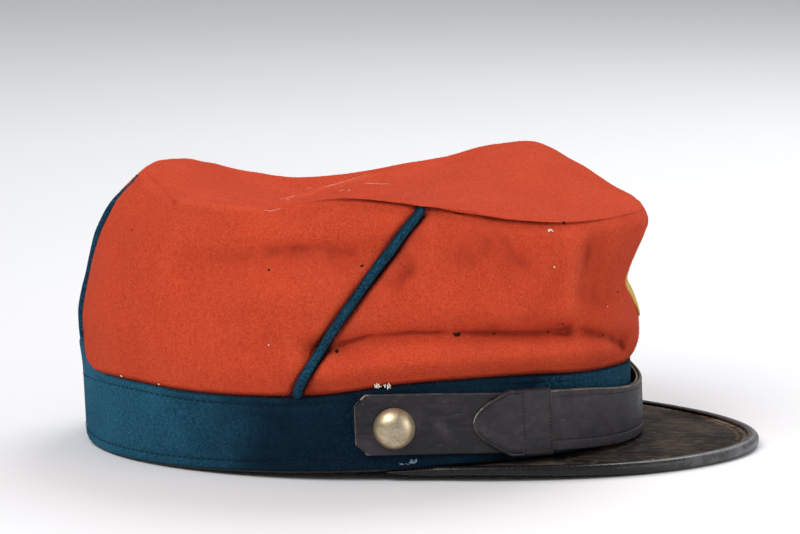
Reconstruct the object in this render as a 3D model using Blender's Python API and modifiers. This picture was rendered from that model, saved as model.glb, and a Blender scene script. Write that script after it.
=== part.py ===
"""Kepi cap: a slumped red cloth crown on a blue band, with a leather visor and a chin strap.

The cap is modelled in its own frame, in metres: X runs to the front, Y to the wearer's left
and Z up, with the band's lower edge near Z = 0. Angles run round the head from the front,
positive to the wearer's left. At the end the cap leans onto its visor and stands on the floor,
with the middle of its footprint at the origin.
"""

import math
from collections import namedtuple

import bmesh
import bpy
from mathutils import Matrix, Vector

MM = 0.001

# Clearance between neighbouring pieces
GAP = 0.3 * MM

# Band, measured outside
BAND_LENGTH = 203 * MM
BAND_WIDTH = 163 * MM
BAND_HEIGHT = 27.4 * MM
BAND_CLOTH = 2.4 * MM

# Sweatband, with a lip that turns out under the band
SWEAT_HEIGHT = 24 * MM
SWEAT_LEATHER = 1.2 * MM

# Crown
CROWN_HEIGHT = 66 * MM
CROWN_CLOTH = 2.0 * MM
CROWN_INSET = 0.5 * MM
TOP_LENGTH = 183 * MM
TOP_WIDTH = 136 * MM
TOP_FORWARD = 15.5 * MM
TOP_OVERHANG = 0.6 * MM

# Seams of the crown, each covered by a piping
SIDE_SEAM_LOW = math.radians(95.7)
SIDE_SEAM_HIGH = math.radians(77.5)
SIDE_SEAM_BOW = math.radians(1.0)
BACK_SEAM = math.radians(-174)
PIPING_DIAMETER = 3.8 * MM
PIPING_STAND = 0.6 * MM

# Badge, a plain cloth patch on the crown's front
BADGE_WIDTH = 25 * MM
BADGE_HEIGHT = 34 * MM
BADGE_CLOTH = 1.1 * MM
BADGE_LEVEL = 0.60
BADGE_ANGLE = math.radians(3)

# Visor
VISOR_REACH = 44.8 * MM
VISOR_HALF_ANGLE = math.radians(68)
VISOR_END_WIDTH = 0.4 * MM
VISOR_TUCK = 2.4 * MM
VISOR_LEATHER = 2.0 * MM
VISOR_DROP = 5.2 * MM
VISOR_POINT = 1.88
BINDING_LEATHER = 0.9 * MM
BINDING_LAP = 2.8 * MM
BINDING_END = 0.9

# Chin strap, two strips that overlap across the front
STRAP_WIDTH = 21.8 * MM
STRAP_LEATHER = 1.0 * MM
STRAP_STAND = 1.4 * MM
STRAP_CORNER = 4.0 * MM
STRAP_START = math.radians(84.5)
STRAP_SEAT = math.radians(6)
STRAP_LIFT = math.radians(8)
LOOP_FRONT = math.radians(42.9)
STRAP_END = LOOP_FRONT + math.radians(3)
LOOP_LENGTH = 11.6 * MM
LOOP_LEATHER = 0.8 * MM
TONGUE_LENGTH = 16.6 * MM
TONGUE_TAPER = 13.0 * MM
TONGUE_TIP = 0.3 * MM

# Side buttons
BUTTON_ANGLE = math.radians(77)
BUTTON_LEVEL = 15.7 * MM
BUTTON_DIAMETER = 14.8 * MM
BUTTON_DOME = 4.4 * MM
BUTTON_RIM = 0.8 * MM
SHANK_DIAMETER = 2.4 * MM
BUTTON_SEAT = STRAP_LEATHER + 2 * GAP

# The back of the rim that meets the floor
HEEL_ANGLE = math.radians(130)

# Fineness of the faceted solids
ROUND_STEPS = 64
WALL_ROWS = 14
PANEL_STEP = math.radians(5.4)
TOP_RINGS = 6
TOP_STEPS = 60
VISOR_STEPS = 44
STRAP_STEP = math.radians(4.5)
BUTTON_STEPS = 20
BADGE_STEPS = 20
BADGE_RINGS = 3

# Offsets of the crown's wall outwards, as shares of CROWN_HEIGHT, at shares of its height
Wall = namedtuple("Wall", "height front side back")
WALL_SECTIONS = (
    Wall(0.00, 0.000, 0.000, 0.000),
    Wall(0.15, 0.040, 0.060, 0.044),
    Wall(0.30, 0.029, 0.098, 0.102),
    Wall(0.42, -0.010, 0.125, 0.121),
    Wall(0.52, -0.055, 0.148, 0.130),
    Wall(0.62, -0.046, 0.165, 0.139),
    Wall(0.75, -0.012, 0.165, 0.146),
    Wall(0.87, 0.028, 0.130, 0.118),
    Wall(0.95, 0.042, 0.070, 0.065),
    Wall(1.00, 0.000, 0.000, 0.000),
)

# Top edge of the crown above the band, as shares of CROWN_HEIGHT, at degrees from the front
Edge = namedtuple("Edge", "angle right left")
EDGE_HEIGHTS = (
    Edge(0, 0.803, 0.803),
    Edge(15, 0.815, 0.821),
    Edge(33, 0.825, 0.875),
    Edge(45, 0.843, 0.966),
    Edge(58, 0.890, 1.070),
    Edge(70, 0.945, 1.052),
    Edge(83, 0.993, 0.982),
    Edge(97, 1.038, 0.930),
    Edge(110, 0.992, 0.897),
    Edge(120, 0.990, 0.900),
    Edge(134, 1.002, 0.970),
    Edge(150, 0.995, 1.062),
    Edge(165, 1.037, 1.096),
    Edge(180, 1.083, 1.083),
)

# How far the crown's top sags between its edges, as shares of CROWN_HEIGHT, at places from
# its back end, -1, to its front end, 1
Sag = namedtuple("Sag", "place sag")
TOP_SAGS = (
    Sag(-1.00, 0.000),
    Sag(-0.85, -0.030),
    Sag(-0.68, 0.010),
    Sag(-0.46, 0.080),
    Sag(-0.30, 0.130),
    Sag(-0.12, 0.130),
    Sag(0.12, 0.080),
    Sag(0.36, 0.030),
    Sag(0.53, -0.005),
    Sag(0.72, 0.000),
    Sag(0.86, 0.000),
    Sag(1.00, 0.000),
)

# Top and bottom of the band, as shares of BAND_HEIGHT, at degrees from the front
Brim = namedtuple("Brim", "angle top bottom")
BAND_EDGES = (
    Brim(0, 0.80, -0.075),
    Brim(15, 0.87, -0.070),
    Brim(30, 0.98, -0.045),
    Brim(45, 1.08, -0.015),
    Brim(60, 1.14, 0.000),
    Brim(75, 1.14, 0.000),
    Brim(90, 1.07, 0.000),
    Brim(105, 1.02, 0.000),
    Brim(120, 1.01, 0.000),
    Brim(135, 1.03, 0.005),
    Brim(150, 1.03, 0.020),
    Brim(165, 0.99, 0.050),
    Brim(180, 0.91, 0.075),
)

# Folds in the crown's wall: a line from start to end, in degrees and shares of height, with
# its breadth and its depth inwards as shares of CROWN_HEIGHT. A ridge has a negative depth.
Fold = namedtuple("Fold", "start_angle start_height end_angle end_height breadth depth")
FOLDS = (
    # Waist crease over the roll of cloth at the right front
    Fold(-93, 0.25, -38, 0.285, 0.070, 0.055),
    Fold(-38, 0.285, -12, 0.15, 0.060, 0.040),
    Fold(-92, 0.13, -25, 0.14, 0.090, -0.035),
    Fold(-85, 0.45, -40, 0.45, 0.130, -0.025),
    # Hollow under the right back edge
    Fold(-124, 0.69, -86, 0.76, 0.120, 0.055),
    # Upright folds at the right front
    Fold(-28, 0.52, -30, 0.88, 0.075, 0.035),
    Fold(-39, 0.50, -41, 0.90, 0.080, -0.020),
    Fold(-64, 0.72, -55, 0.74, 0.150, 0.030),
    # Left side
    Fold(42, 0.30, 98, 0.24, 0.080, 0.050),
    Fold(30, 0.14, 95, 0.13, 0.090, -0.030),
    Fold(84, 0.78, 128, 0.70, 0.140, 0.065),
    Fold(24, 0.50, 33, 0.86, 0.080, 0.030),
    # Back
    Fold(152, 0.40, 166, 0.62, 0.120, 0.020),
)

# Middle of the chin strap above the rim, as a share of BAND_HEIGHT, at degrees from the front
Strap = namedtuple("Strap", "angle level")
STRAP_LEVELS = (
    Strap(0, 0.325),
    Strap(18, 0.362),
    Strap(29, 0.407),
    Strap(41, 0.467),
    Strap(55, 0.533),
    Strap(70, 0.600),
    Strap(90, 0.630),
)

# Visor's outer edge below the rim's plane, as shares of VISOR_DROP, at places from its
# middle, 0, to its end, 1
Leaf = namedtuple("Leaf", "place drop")
VISOR_LEVELS = (
    Leaf(0.00, 1.00),
    Leaf(0.25, 0.95),
    Leaf(0.50, 0.74),
    Leaf(0.70, 0.40),
    Leaf(0.85, 0.12),
    Leaf(1.00, 0.02),
)

COLOURS = {
    # material: (base colour, roughness, metallic)
    "madder_cloth": ((0.60, 0.075, 0.035), 0.95, 0.0),
    "blue_cloth": ((0.012, 0.05, 0.09), 0.95, 0.0),
    "yellow_cloth": ((0.75, 0.48, 0.08), 0.95, 0.0),
    "black_leather": ((0.03, 0.028, 0.03), 0.45, 0.0),
    "brass": ((0.62, 0.5, 0.3), 0.35, 1.0),
}


def along(rows, place, column, flat_ends=True):
    """A column's value at a place in the rows' first column, on a smooth curve through the rows."""
    places = [row[0] for row in rows]
    values = [getattr(row, column) for row in rows]
    last = len(rows) - 1
    place = min(max(place, places[0]), places[last])
    low = max(i for i in range(last) if places[i] <= place)

    def slope(i):
        if flat_ends and i in (0, last):
            return 0.0
        before, after = max(i - 1, 0), min(i + 1, last)
        return (values[after] - values[before]) / (places[after] - places[before])

    span = places[low + 1] - places[low]
    t = (place - places[low]) / span
    rise = values[low + 1] - values[low]
    start, end = slope(low) * span, slope(low + 1) * span
    return values[low] + start * t + (3 * rise - 2 * start - end) * t**2 + (start + end - 2 * rise) * t**3


def smooth_step(value, start, end):
    t = min(max((value - start) / (end - start), 0.0), 1.0)
    return t * t * (3 - 2 * t)


def wrapped(angle):
    """The same angle between -180 and 180 degrees."""
    return (angle + math.pi) % (2 * math.pi) - math.pi


def band_point(angle, outwards, height):
    """A point at a distance outwards from the band's outer face, or inwards if negative."""
    half_length, half_width = BAND_LENGTH / 2, BAND_WIDTH / 2
    normal = Vector((half_width * math.cos(angle), half_length * math.sin(angle), 0)).normalized()
    on_face = Vector((half_length * math.cos(angle), half_width * math.sin(angle), height))
    return on_face + normal * outwards


def band_top(angle):
    return BAND_HEIGHT * along(BAND_EDGES, math.degrees(abs(wrapped(angle))), "top")


def rim_bottom(angle):
    return BAND_HEIGHT * along(BAND_EDGES, math.degrees(abs(wrapped(angle))), "bottom")


def crown_edge(angle):
    """Height of the upper face of the crown's top at its edge."""
    turn = wrapped(angle)
    side = "right" if turn < 0 else "left"
    return BAND_HEIGHT + CROWN_HEIGHT * along(EDGE_HEIGHTS, math.degrees(abs(turn)), side)


def fold_depth(angle, height):
    """How far the folds push the wall inwards at an angle and a share of its height."""
    turn = wrapped(angle)
    spot = Vector((turn * BAND_WIDTH / 2, height * CROWN_HEIGHT))
    depth = 0.0
    for fold in FOLDS:
        start = Vector((math.radians(fold.start_angle) * BAND_WIDTH / 2, fold.start_height * CROWN_HEIGHT))
        end = Vector((math.radians(fold.end_angle) * BAND_WIDTH / 2, fold.end_height * CROWN_HEIGHT))
        line = end - start
        share = min(max((spot - start).dot(line) / line.length_squared, 0.0), 1.0)
        distance = (spot - start - line * share).length / (fold.breadth * CROWN_HEIGHT)
        depth += fold.depth * CROWN_HEIGHT * math.exp(-(distance**2))
    return depth


def wall_point(angle, height, outwards=0.0):
    """A point on the crown's wall: height is 0 at the band and 1 under the top's edge."""
    forward, side = math.cos(angle), math.sin(angle)
    low = band_point(angle, -CROWN_INSET, 0)
    high = Vector((TOP_FORWARD + TOP_LENGTH / 2 * forward, TOP_WIDTH / 2 * side, 0))
    end = "front" if forward > 0 else "back"
    bulge = CROWN_HEIGHT * (
        along(WALL_SECTIONS, height, end, flat_ends=False) * forward**2
        + along(WALL_SECTIONS, height, "side", flat_ends=False) * side**2
    )
    fade = smooth_step(height, 0.0, 0.08) * smooth_step(1 - height, 0.0, 0.08)
    normal = Vector((BAND_WIDTH * forward, BAND_LENGTH * side, 0)).normalized()
    point = low.lerp(high, height) + normal * (bulge - fold_depth(angle, height) * fade + outwards)
    base = band_top(angle) + GAP
    point.z = base + (crest_height(angle) - base) * height
    return point


def top_point(reach, angle):
    """A point on the upper face of the crown's top: reach is 0 at its middle and 1 at its edge."""
    half_length, half_width = TOP_LENGTH / 2 + TOP_OVERHANG, TOP_WIDTH / 2 + TOP_OVERHANG
    x, y = reach * half_length * math.cos(angle), reach * half_width * math.sin(angle)
    place = min(max(x / half_length, -1.0), 1.0)
    edge_angle = math.acos(place)
    right, left = crown_edge(-edge_angle), crown_edge(edge_angle)
    chord = half_width * math.sin(edge_angle)
    across = min(max(y / chord, -1.0), 1.0) if chord > MM else 0.0
    level = (right + left) / 2 + (left - right) / 2 * across
    sag = CROWN_HEIGHT * along(TOP_SAGS, place, "sag") * (1 - across**2)
    return Vector((TOP_FORWARD + x, y, level - sag))


def crest_height(angle):
    """Height of the wall's upper edge, clear of the underside of the crown's top."""
    inner_reach = 1 - (TOP_OVERHANG + CROWN_CLOTH) / (TOP_WIDTH / 2)
    lowest = min(top_point(1, angle).z, top_point(inner_reach, angle).z)
    return lowest - CROWN_CLOTH - GAP


def side_seam(height):
    """Angle of the left side seam at a share of the wall's height."""
    straight = SIDE_SEAM_LOW + (SIDE_SEAM_HIGH - SIDE_SEAM_LOW) * height
    return straight + SIDE_SEAM_BOW * 4 * height * (1 - height)


def make_material(name):
    colour, roughness, metallic = COLOURS[name]
    material = bpy.data.materials.new(name)
    material.use_nodes = True
    shader = material.node_tree.nodes["Principled BSDF"]
    shader.inputs["Base Color"].default_value = (*colour, 1)
    shader.inputs["Roughness"].default_value = roughness
    shader.inputs["Metallic"].default_value = metallic
    return material


def add_object(name, data, material, collection, frame):
    """Links new data to the scene as an object of the cap."""
    made = bpy.data.objects.new(name, data)
    data.materials.append(material)
    collection.objects.link(made)
    made.parent = frame
    return made


def add_mesh(name, points, faces, material, collection, frame):
    mesh = bpy.data.meshes.new(name)
    mesh.from_pydata([tuple(point) for point in points], [], faces)
    mesh.validate()
    mesh.shade_smooth()
    mesh.set_sharp_from_angle(angle=math.radians(40))
    return add_object(name, mesh, material, collection, frame)


def strip_faces(rows, columns, closed):
    """Faces of a grid whose points run column by column within each row. Closed joins its ends."""
    faces = []
    for row in range(rows - 1):
        for column in range(columns if closed else columns - 1):
            after = (column + 1) % columns
            first, second = row * columns, (row + 1) * columns
            faces.append((first + column, first + after, second + after, second + column))
    return faces


def add_sheet(name, rows, thickness, offset, material, collection, frame):
    """A cloth or leather sheet: an open grid of points given thickness by Solidify."""
    columns = len(rows[0])
    points = [point for row in rows for point in row]
    sheet = add_mesh(name, points, strip_faces(len(rows), columns, False), material, collection, frame)
    solidify = sheet.modifiers.new("thickness", "SOLIDIFY")
    solidify.thickness = thickness
    solidify.offset = offset
    solidify.use_even_offset = True
    return sheet


def add_sweep(name, sections, closed, material, collection, frame):
    """A solid through sections, each a closed ring of points. A closed sweep meets its own start."""
    count, sides = len(sections), len(sections[0])
    points = [point for section in sections for point in section]
    if closed:
        faces = strip_faces(count + 1, sides, True)
        faces = [tuple(index % (count * sides) for index in face) for face in faces]
    else:
        faces = strip_faces(count, sides, True)
        faces.append(tuple(reversed(range(sides))))
        faces.append(tuple(range((count - 1) * sides, count * sides)))
    solid = add_mesh(name, points, faces, material, collection, frame)
    face_outwards(solid.data)
    return solid


def face_outwards(mesh):
    """Turns a closed mesh's faces to point out."""
    work = bmesh.new()
    work.from_mesh(mesh)
    bmesh.ops.recalc_face_normals(work, faces=work.faces)
    work.to_mesh(mesh)
    work.free()


def spread(start, end, count):
    """Values from start to end, both included."""
    return [start + (end - start) * i / (count - 1) for i in range(count)]


def round_angles(count):
    return [2 * math.pi * i / count for i in range(count)]


def add_band(material, collection, frame):
    sections = []
    for angle in round_angles(ROUND_STEPS):
        low = rim_bottom(angle) + SWEAT_LEATHER + GAP
        high = band_top(angle)
        ring = ((0, low), (0, high), (-BAND_CLOTH, high), (-BAND_CLOTH, low))
        sections.append([band_point(angle, outwards, height) for outwards, height in ring])
    return add_sweep("band", sections, True, material, collection, frame)


def add_sweatband(material, collection, frame):
    """The leather inside the band, with the lip that shows as a dark line under the cloth."""
    outer = -BAND_CLOTH - GAP
    inner = outer - SWEAT_LEATHER
    sections = []
    for angle in round_angles(ROUND_STEPS):
        low = rim_bottom(angle)
        ring = (
            (-GAP, low),
            (-GAP, low + SWEAT_LEATHER),
            (outer, low + SWEAT_LEATHER),
            (outer, low + SWEAT_HEIGHT),
            (inner, low + SWEAT_HEIGHT),
            (inner, low),
        )
        sections.append([band_point(angle, outwards, height) for outwards, height in ring])
    return add_sweep("sweatband", sections, True, material, collection, frame)


def seam_margin(seam, height):
    """Half the angle that a piping takes out of the wall, more where its seam runs at a slant."""
    turn, rise = math.radians(1), 0.04
    across = wall_point(seam(height) + turn, height) - wall_point(seam(height) - turn, height)
    above, below = min(height + rise, 1), max(height - rise, 0)
    along_seam = wall_point(seam(above), above) - wall_point(seam(below), below)
    room = across.cross(along_seam.normalized()).length / (2 * turn)
    return (PIPING_DIAMETER / 2 + GAP) / room


def add_panel(name, start, end, material, collection, frame):
    """One cloth panel of the crown's wall, between two seams given as functions of height."""
    widest = max(abs(end(height) - start(height)) for height in (0, 1))
    columns = math.ceil(widest / PANEL_STEP) + 1
    rows = []
    for height in spread(0, 1, WALL_ROWS):
        low = start(height) + seam_margin(start, height)
        high = end(height) - seam_margin(end, height)
        rows.append([wall_point(angle, height) for angle in spread(low, high, columns)])
    return add_sheet(name, rows, CROWN_CLOTH, -1, material, collection, frame)


def add_piping(name, seam, material, collection, frame):
    """A roll of cloth that stands in a seam of the crown, from the band to the top."""
    end_room = (PIPING_DIAMETER / 2 + GAP) / CROWN_HEIGHT
    heights = [end_room] + spread(0, 1, WALL_ROWS)[1:-1] + [1 - end_room]
    curve = bpy.data.curves.new(name, "CURVE")
    curve.dimensions = "3D"
    curve.bevel_depth = PIPING_DIAMETER / 2
    curve.bevel_resolution = 2
    curve.use_fill_caps = True
    spline = curve.splines.new("POLY")
    spline.points.add(len(heights) - 1)
    for point, height in zip(spline.points, heights):
        point.co = (*wall_point(seam(height), height, PIPING_STAND), 1)
    return add_object(name, curve, material, collection, frame)


def add_crown_top(material, collection, frame):
    """The cloth that closes the crown: rings of points, closer together towards its edge."""
    reaches = [math.sin(math.pi / 2 * ring / TOP_RINGS) for ring in range(1, TOP_RINGS + 1)]
    upper = [top_point(0, 0)]
    for reach in reaches:
        upper += [top_point(reach, angle) for angle in round_angles(TOP_STEPS)]
    lower = [point - Vector((0, 0, CROWN_CLOTH)) for point in upper]
    count = len(upper)
    faces = [(0, 1 + i, 1 + (i + 1) % TOP_STEPS) for i in range(TOP_STEPS)]
    faces += [tuple(index + 1 for index in face) for face in strip_faces(TOP_RINGS, TOP_STEPS, True)]
    faces += [tuple(index + count for index in reversed(face)) for face in faces]
    edge = count - TOP_STEPS
    for i in range(TOP_STEPS):
        after = (i + 1) % TOP_STEPS
        faces.append((edge + i, edge + after, edge + after + count, edge + i + count))
    top = add_mesh("crown_top", upper + lower, faces, material, collection, frame)
    face_outwards(top.data)
    return top


def add_badge(material, collection, frame):
    """A plain oval cloth patch that follows the crown's front."""
    half_width, half_height = BADGE_WIDTH / 2, BADGE_HEIGHT / 2
    wall_height = crown_edge(0) - band_top(0)

    def patch_point(reach, turn):
        angle = BADGE_ANGLE + reach * half_width * math.cos(turn) / (BAND_WIDTH / 2)
        height = BADGE_LEVEL + reach * half_height * math.sin(turn) / wall_height
        return wall_point(angle, height, 2 * GAP)

    points = [patch_point(0, 0)]
    for ring in range(1, BADGE_RINGS + 1):
        points += [patch_point(ring / BADGE_RINGS, turn) for turn in round_angles(BADGE_STEPS)]
    faces = [(0, 1 + i, 1 + (i + 1) % BADGE_STEPS) for i in range(BADGE_STEPS)]
    for row in strip_faces(BADGE_RINGS, BADGE_STEPS, True):
        faces.append(tuple(reversed([index + 1 for index in row])))
    badge = add_mesh("front_badge", points, faces, material, collection, frame)
    solidify = badge.modifiers.new("thickness", "SOLIDIFY")
    solidify.thickness = BADGE_CLOTH
    solidify.offset = 1
    return badge


def visor_root(place):
    """Top of the visor's inner edge, tucked under the rim: place runs from -1 to 1 at its left."""
    angle = place * VISOR_HALF_ANGLE
    return band_point(angle, -VISOR_TUCK, rim_bottom(angle) - GAP)


def visor_edge(place):
    """Top of the visor's outer edge, on a rounded curve from end to end."""
    start = BAND_LENGTH / 2 * math.cos(VISOR_HALF_ANGLE)
    reach = BAND_LENGTH / 2 + VISOR_REACH - start
    half_width = BAND_WIDTH / 2 * math.sin(VISOR_HALF_ANGLE) + VISOR_END_WIDTH
    turn = place * math.pi / 2
    forward = max(math.cos(turn), 0.0) ** (2 / VISOR_POINT)
    side = math.copysign(abs(math.sin(turn)) ** (2 / VISOR_POINT), turn)
    level = -VISOR_DROP * along(VISOR_LEVELS, abs(place), "drop")
    return Vector((start + reach * forward, half_width * side, level))


def visor_places():
    """Places along the visor, closer together where its edge turns."""
    return [math.sin(turn) for turn in spread(-math.pi / 2, math.pi / 2, VISOR_STEPS)]


def visor_out(place):
    """Level direction out of the visor at its outer edge."""
    step = 0.01
    run = visor_edge(min(place + step, 1)) - visor_edge(max(place - step, -1))
    return Vector((run.y, -run.x, 0)).normalized()


def add_visor(material, collection, frame):
    """The visor's leather, sloping from its root to a level margin under the binding."""
    places = visor_places()
    roots = [visor_root(place) for place in places]
    edges = [visor_edge(place) for place in places]
    margins = []
    for place, root, edge in zip(places, roots, edges):
        level = min(BINDING_LAP + VISOR_LEATHER / 2, (edge - root).xy.length / 2)
        margins.append(edge - visor_out(place) * level)
    middles = [(root + margin) / 2 for root, margin in zip(roots, margins)]
    return add_sheet("visor", [edges, margins, middles, roots], VISOR_LEATHER, -1, material, collection, frame)


def add_binding(material, collection, frame):
    """The leather strip folded over the visor's outer edge."""
    inside, outside = GAP, GAP + BINDING_LEATHER
    under = -VISOR_LEATHER
    ring = (
        (-BINDING_LAP, inside),
        (-BINDING_LAP, outside),
        (0.3 * outside, outside),
        (outside, 0.3 * inside),
        (outside, under - 0.3 * inside),
        (0.3 * outside, under - outside),
        (-BINDING_LAP, under - outside),
        (-BINDING_LAP, under - inside),
        (inside, under - inside),
        (inside, inside),
    )
    sections = []
    for place in visor_places():
        if abs(place) <= BINDING_END:
            edge, out = visor_edge(place), visor_out(place)
            sections.append([edge + out * outwards + Vector((0, 0, height)) for outwards, height in ring])
    return add_sweep("visor_binding", sections, False, material, collection, frame)


def strap_level(angle):
    return BAND_HEIGHT * along(STRAP_LEVELS, math.degrees(abs(wrapped(angle))), "level")


def strap_stand(angle, stand_front):
    """How far a strap stands off the band: a gap at its button's side, stand_front from its loop on."""
    start, end = -BUTTON_ANGLE + STRAP_SEAT, -LOOP_FRONT - STRAP_LIFT
    return GAP + (stand_front - GAP) * smooth_step(-angle, start, end)


def per_angle(angle):
    """Length of the band's outline for each radian at an angle."""
    return math.hypot(BAND_LENGTH / 2 * math.sin(angle), BAND_WIDTH / 2 * math.cos(angle))


def strip_section(angle, half_width, inner, thickness):
    """A strap's section: a rectangle that stands on the band's outline."""
    level = strap_level(angle)
    ring = (
        (inner, level - half_width),
        (inner + thickness, level - half_width),
        (inner + thickness, level + half_width),
        (inner, level + half_width),
    )
    return [band_point(angle, outwards, height) for outwards, height in ring]


def add_strap(name, side, stand_front, end, material, collection, frame):
    """A strip from its button on one side, round the front, to its end at the far loop.

    Side is -1 where the button is on the right. The strip leaves the band near its button
    and stands off it by stand_front beyond the loop.
    """
    corner = STRAP_CORNER / per_angle(STRAP_START)
    count = math.ceil((STRAP_START - corner + end) / STRAP_STEP) + 1
    angles = [STRAP_START] + spread(STRAP_START - corner, -end, count)
    sections = []
    for i, angle in enumerate(angles):
        half_width = STRAP_WIDTH / 2 - (STRAP_CORNER if i == 0 else 0)
        inner = strap_stand(angle, stand_front)
        sections.append(strip_section(side * angle, half_width, inner, STRAP_LEATHER))
    return add_sweep(name, sections, False, material, collection, frame)


def loop_back():
    return LOOP_FRONT + LOOP_LENGTH / per_angle(LOOP_FRONT)


def add_loop(name, side, material, collection, frame):
    """The leather loop round both strips of the chin strap."""
    void_in = STRAP_STAND - GAP
    void_out = STRAP_STAND + 2 * STRAP_LEATHER + 2 * GAP
    void_half = STRAP_WIDTH / 2 + GAP
    skin = LOOP_LEATHER
    outer_ring = (
        (void_in - skin, -void_half - skin),
        (void_out + skin, -void_half - skin),
        (void_out + skin, void_half + skin),
        (void_in - skin, void_half + skin),
    )
    inner_ring = (
        (void_in, -void_half),
        (void_out, -void_half),
        (void_out, void_half),
        (void_in, void_half),
    )
    angles = spread(LOOP_FRONT, loop_back(), 3)
    points = []
    for angle in angles:
        for outwards, height in outer_ring + inner_ring:
            points.append(band_point(side * angle, outwards, strap_level(angle) + height))
    faces = []
    for i in range(len(angles) - 1):
        here, after = 8 * i, 8 * (i + 1)
        for k in range(4):
            turn = (k + 1) % 4
            faces.append((here + k, here + turn, after + turn, after + k))
            faces.append((here + 4 + k, after + 4 + k, after + 4 + turn, here + 4 + turn))
    for base in (0, 8 * (len(angles) - 1)):
        for k in range(4):
            turn = (k + 1) % 4
            faces.append((base + k, base + 4 + k, base + 4 + turn, base + turn))
    loop = add_mesh(name, points, faces, material, collection, frame)
    face_outwards(loop.data)
    return loop


def add_tongue(name, side, stand_front, material, collection, frame):
    """The pointed leather tab that runs back from a loop over the strap."""
    full = STRAP_WIDTH / 2 + GAP + LOOP_LEATHER
    start = loop_back() + GAP / per_angle(LOOP_FRONT)
    sections = []
    for share in spread(0, 1, 9):
        to_tip = TONGUE_LENGTH * (1 - share)
        half_width = full * min(max(to_tip, TONGUE_TIP) / TONGUE_TAPER, 1.0) ** 0.52
        angle = start + TONGUE_LENGTH * share / per_angle(LOOP_FRONT)
        inner = strap_stand(angle, stand_front) + STRAP_LEATHER + GAP
        sections.append(strip_section(side * angle, half_width, inner, STRAP_LEATHER))
    return add_sweep(name, sections, False, material, collection, frame)


def button_frame(side):
    """Places Z along the outward line at a side button, with its seat at the origin."""
    angle = side * BUTTON_ANGLE
    seat = band_point(angle, BUTTON_SEAT, BUTTON_LEVEL)
    out = (band_point(angle, 1, 0) - band_point(angle, 0, 0)).normalized()
    return Matrix.Translation(seat) @ out.to_track_quat("Z", "Y").to_matrix().to_4x4()


def add_button(name, side, material, collection, frame):
    """A domed button turned round its axis, with a shank through the strap and the band."""
    radius = BUTTON_DIAMETER / 2
    shank = SHANK_DIAMETER / 2
    depth = BUTTON_SEAT + BAND_CLOTH
    profile = [(0, BUTTON_RIM + BUTTON_DOME)]
    for turn in spread(math.radians(72), 0, 7):
        profile.append((radius * math.cos(turn), BUTTON_RIM + BUTTON_DOME * math.sin(turn)))
    profile += [(radius, 0), (shank, 0), (shank, -depth), (0, -depth)]
    mesh = bpy.data.meshes.new(name)
    edges = [(i, i + 1) for i in range(len(profile) - 1)]
    mesh.from_pydata([(x, 0, z) for x, z in profile], edges, [])
    button = add_object(name, mesh, material, collection, frame)
    screw = button.modifiers.new("turning", "SCREW")
    screw.steps = screw.render_steps = BUTTON_STEPS
    screw.use_merge_vertices = True
    screw.merge_threshold = 0.01 * MM
    screw.use_smooth_shade = True
    button.matrix_local = button_frame(side)
    return button


def cut_shank_hole(target, side, cutters, frame):
    """Opens a hole for a button's shank."""
    bpy.ops.mesh.primitive_cylinder_add(
        vertices=12, radius=SHANK_DIAMETER / 2 + GAP, depth=4 * (BAND_CLOTH + STRAP_LEATHER + STRAP_STAND)
    )
    cutter = bpy.context.object
    cutter.name = "shank_hole_" + ("left" if side > 0 else "right") + "_" + target.name
    for collection in cutter.users_collection:
        collection.objects.unlink(cutter)
    cutters.objects.link(cutter)
    cutter.parent = frame
    cutter.matrix_local = button_frame(side)
    cutter.hide_render = True
    cutter.display_type = "WIRE"
    hole = target.modifiers.new("shank_hole", "BOOLEAN")
    hole.operation = "DIFFERENCE"
    hole.solver = "EXACT"
    hole.object = cutter


def lean_angle():
    """How far the cap leans back when it rests on its visor and on the back of its rim."""
    tip = visor_edge(0)
    lowest = tip.z - VISOR_LEATHER - GAP - BINDING_LEATHER
    heel = band_point(HEEL_ANGLE, 0, rim_bottom(HEEL_ANGLE))
    return math.atan2(heel.z - lowest, tip.x - heel.x)


def stand_on_floor(frame, pieces):
    """Leans the cap and moves it so that its footprint's middle is the origin."""
    frame.rotation_euler = (0, -lean_angle(), 0)
    bpy.context.view_layer.update()
    graph = bpy.context.evaluated_depsgraph_get()
    corners = []
    for piece in pieces:
        shape = piece.evaluated_get(graph)
        mesh = shape.to_mesh()
        corners += [shape.matrix_world @ vertex.co for vertex in mesh.vertices]
        shape.to_mesh_clear()
    low = [min(corner[axis] for corner in corners) for axis in range(3)]
    high = [max(corner[axis] for corner in corners) for axis in range(3)]
    frame.location = (-(low[0] + high[0]) / 2, -(low[1] + high[1]) / 2, -low[2])


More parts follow.
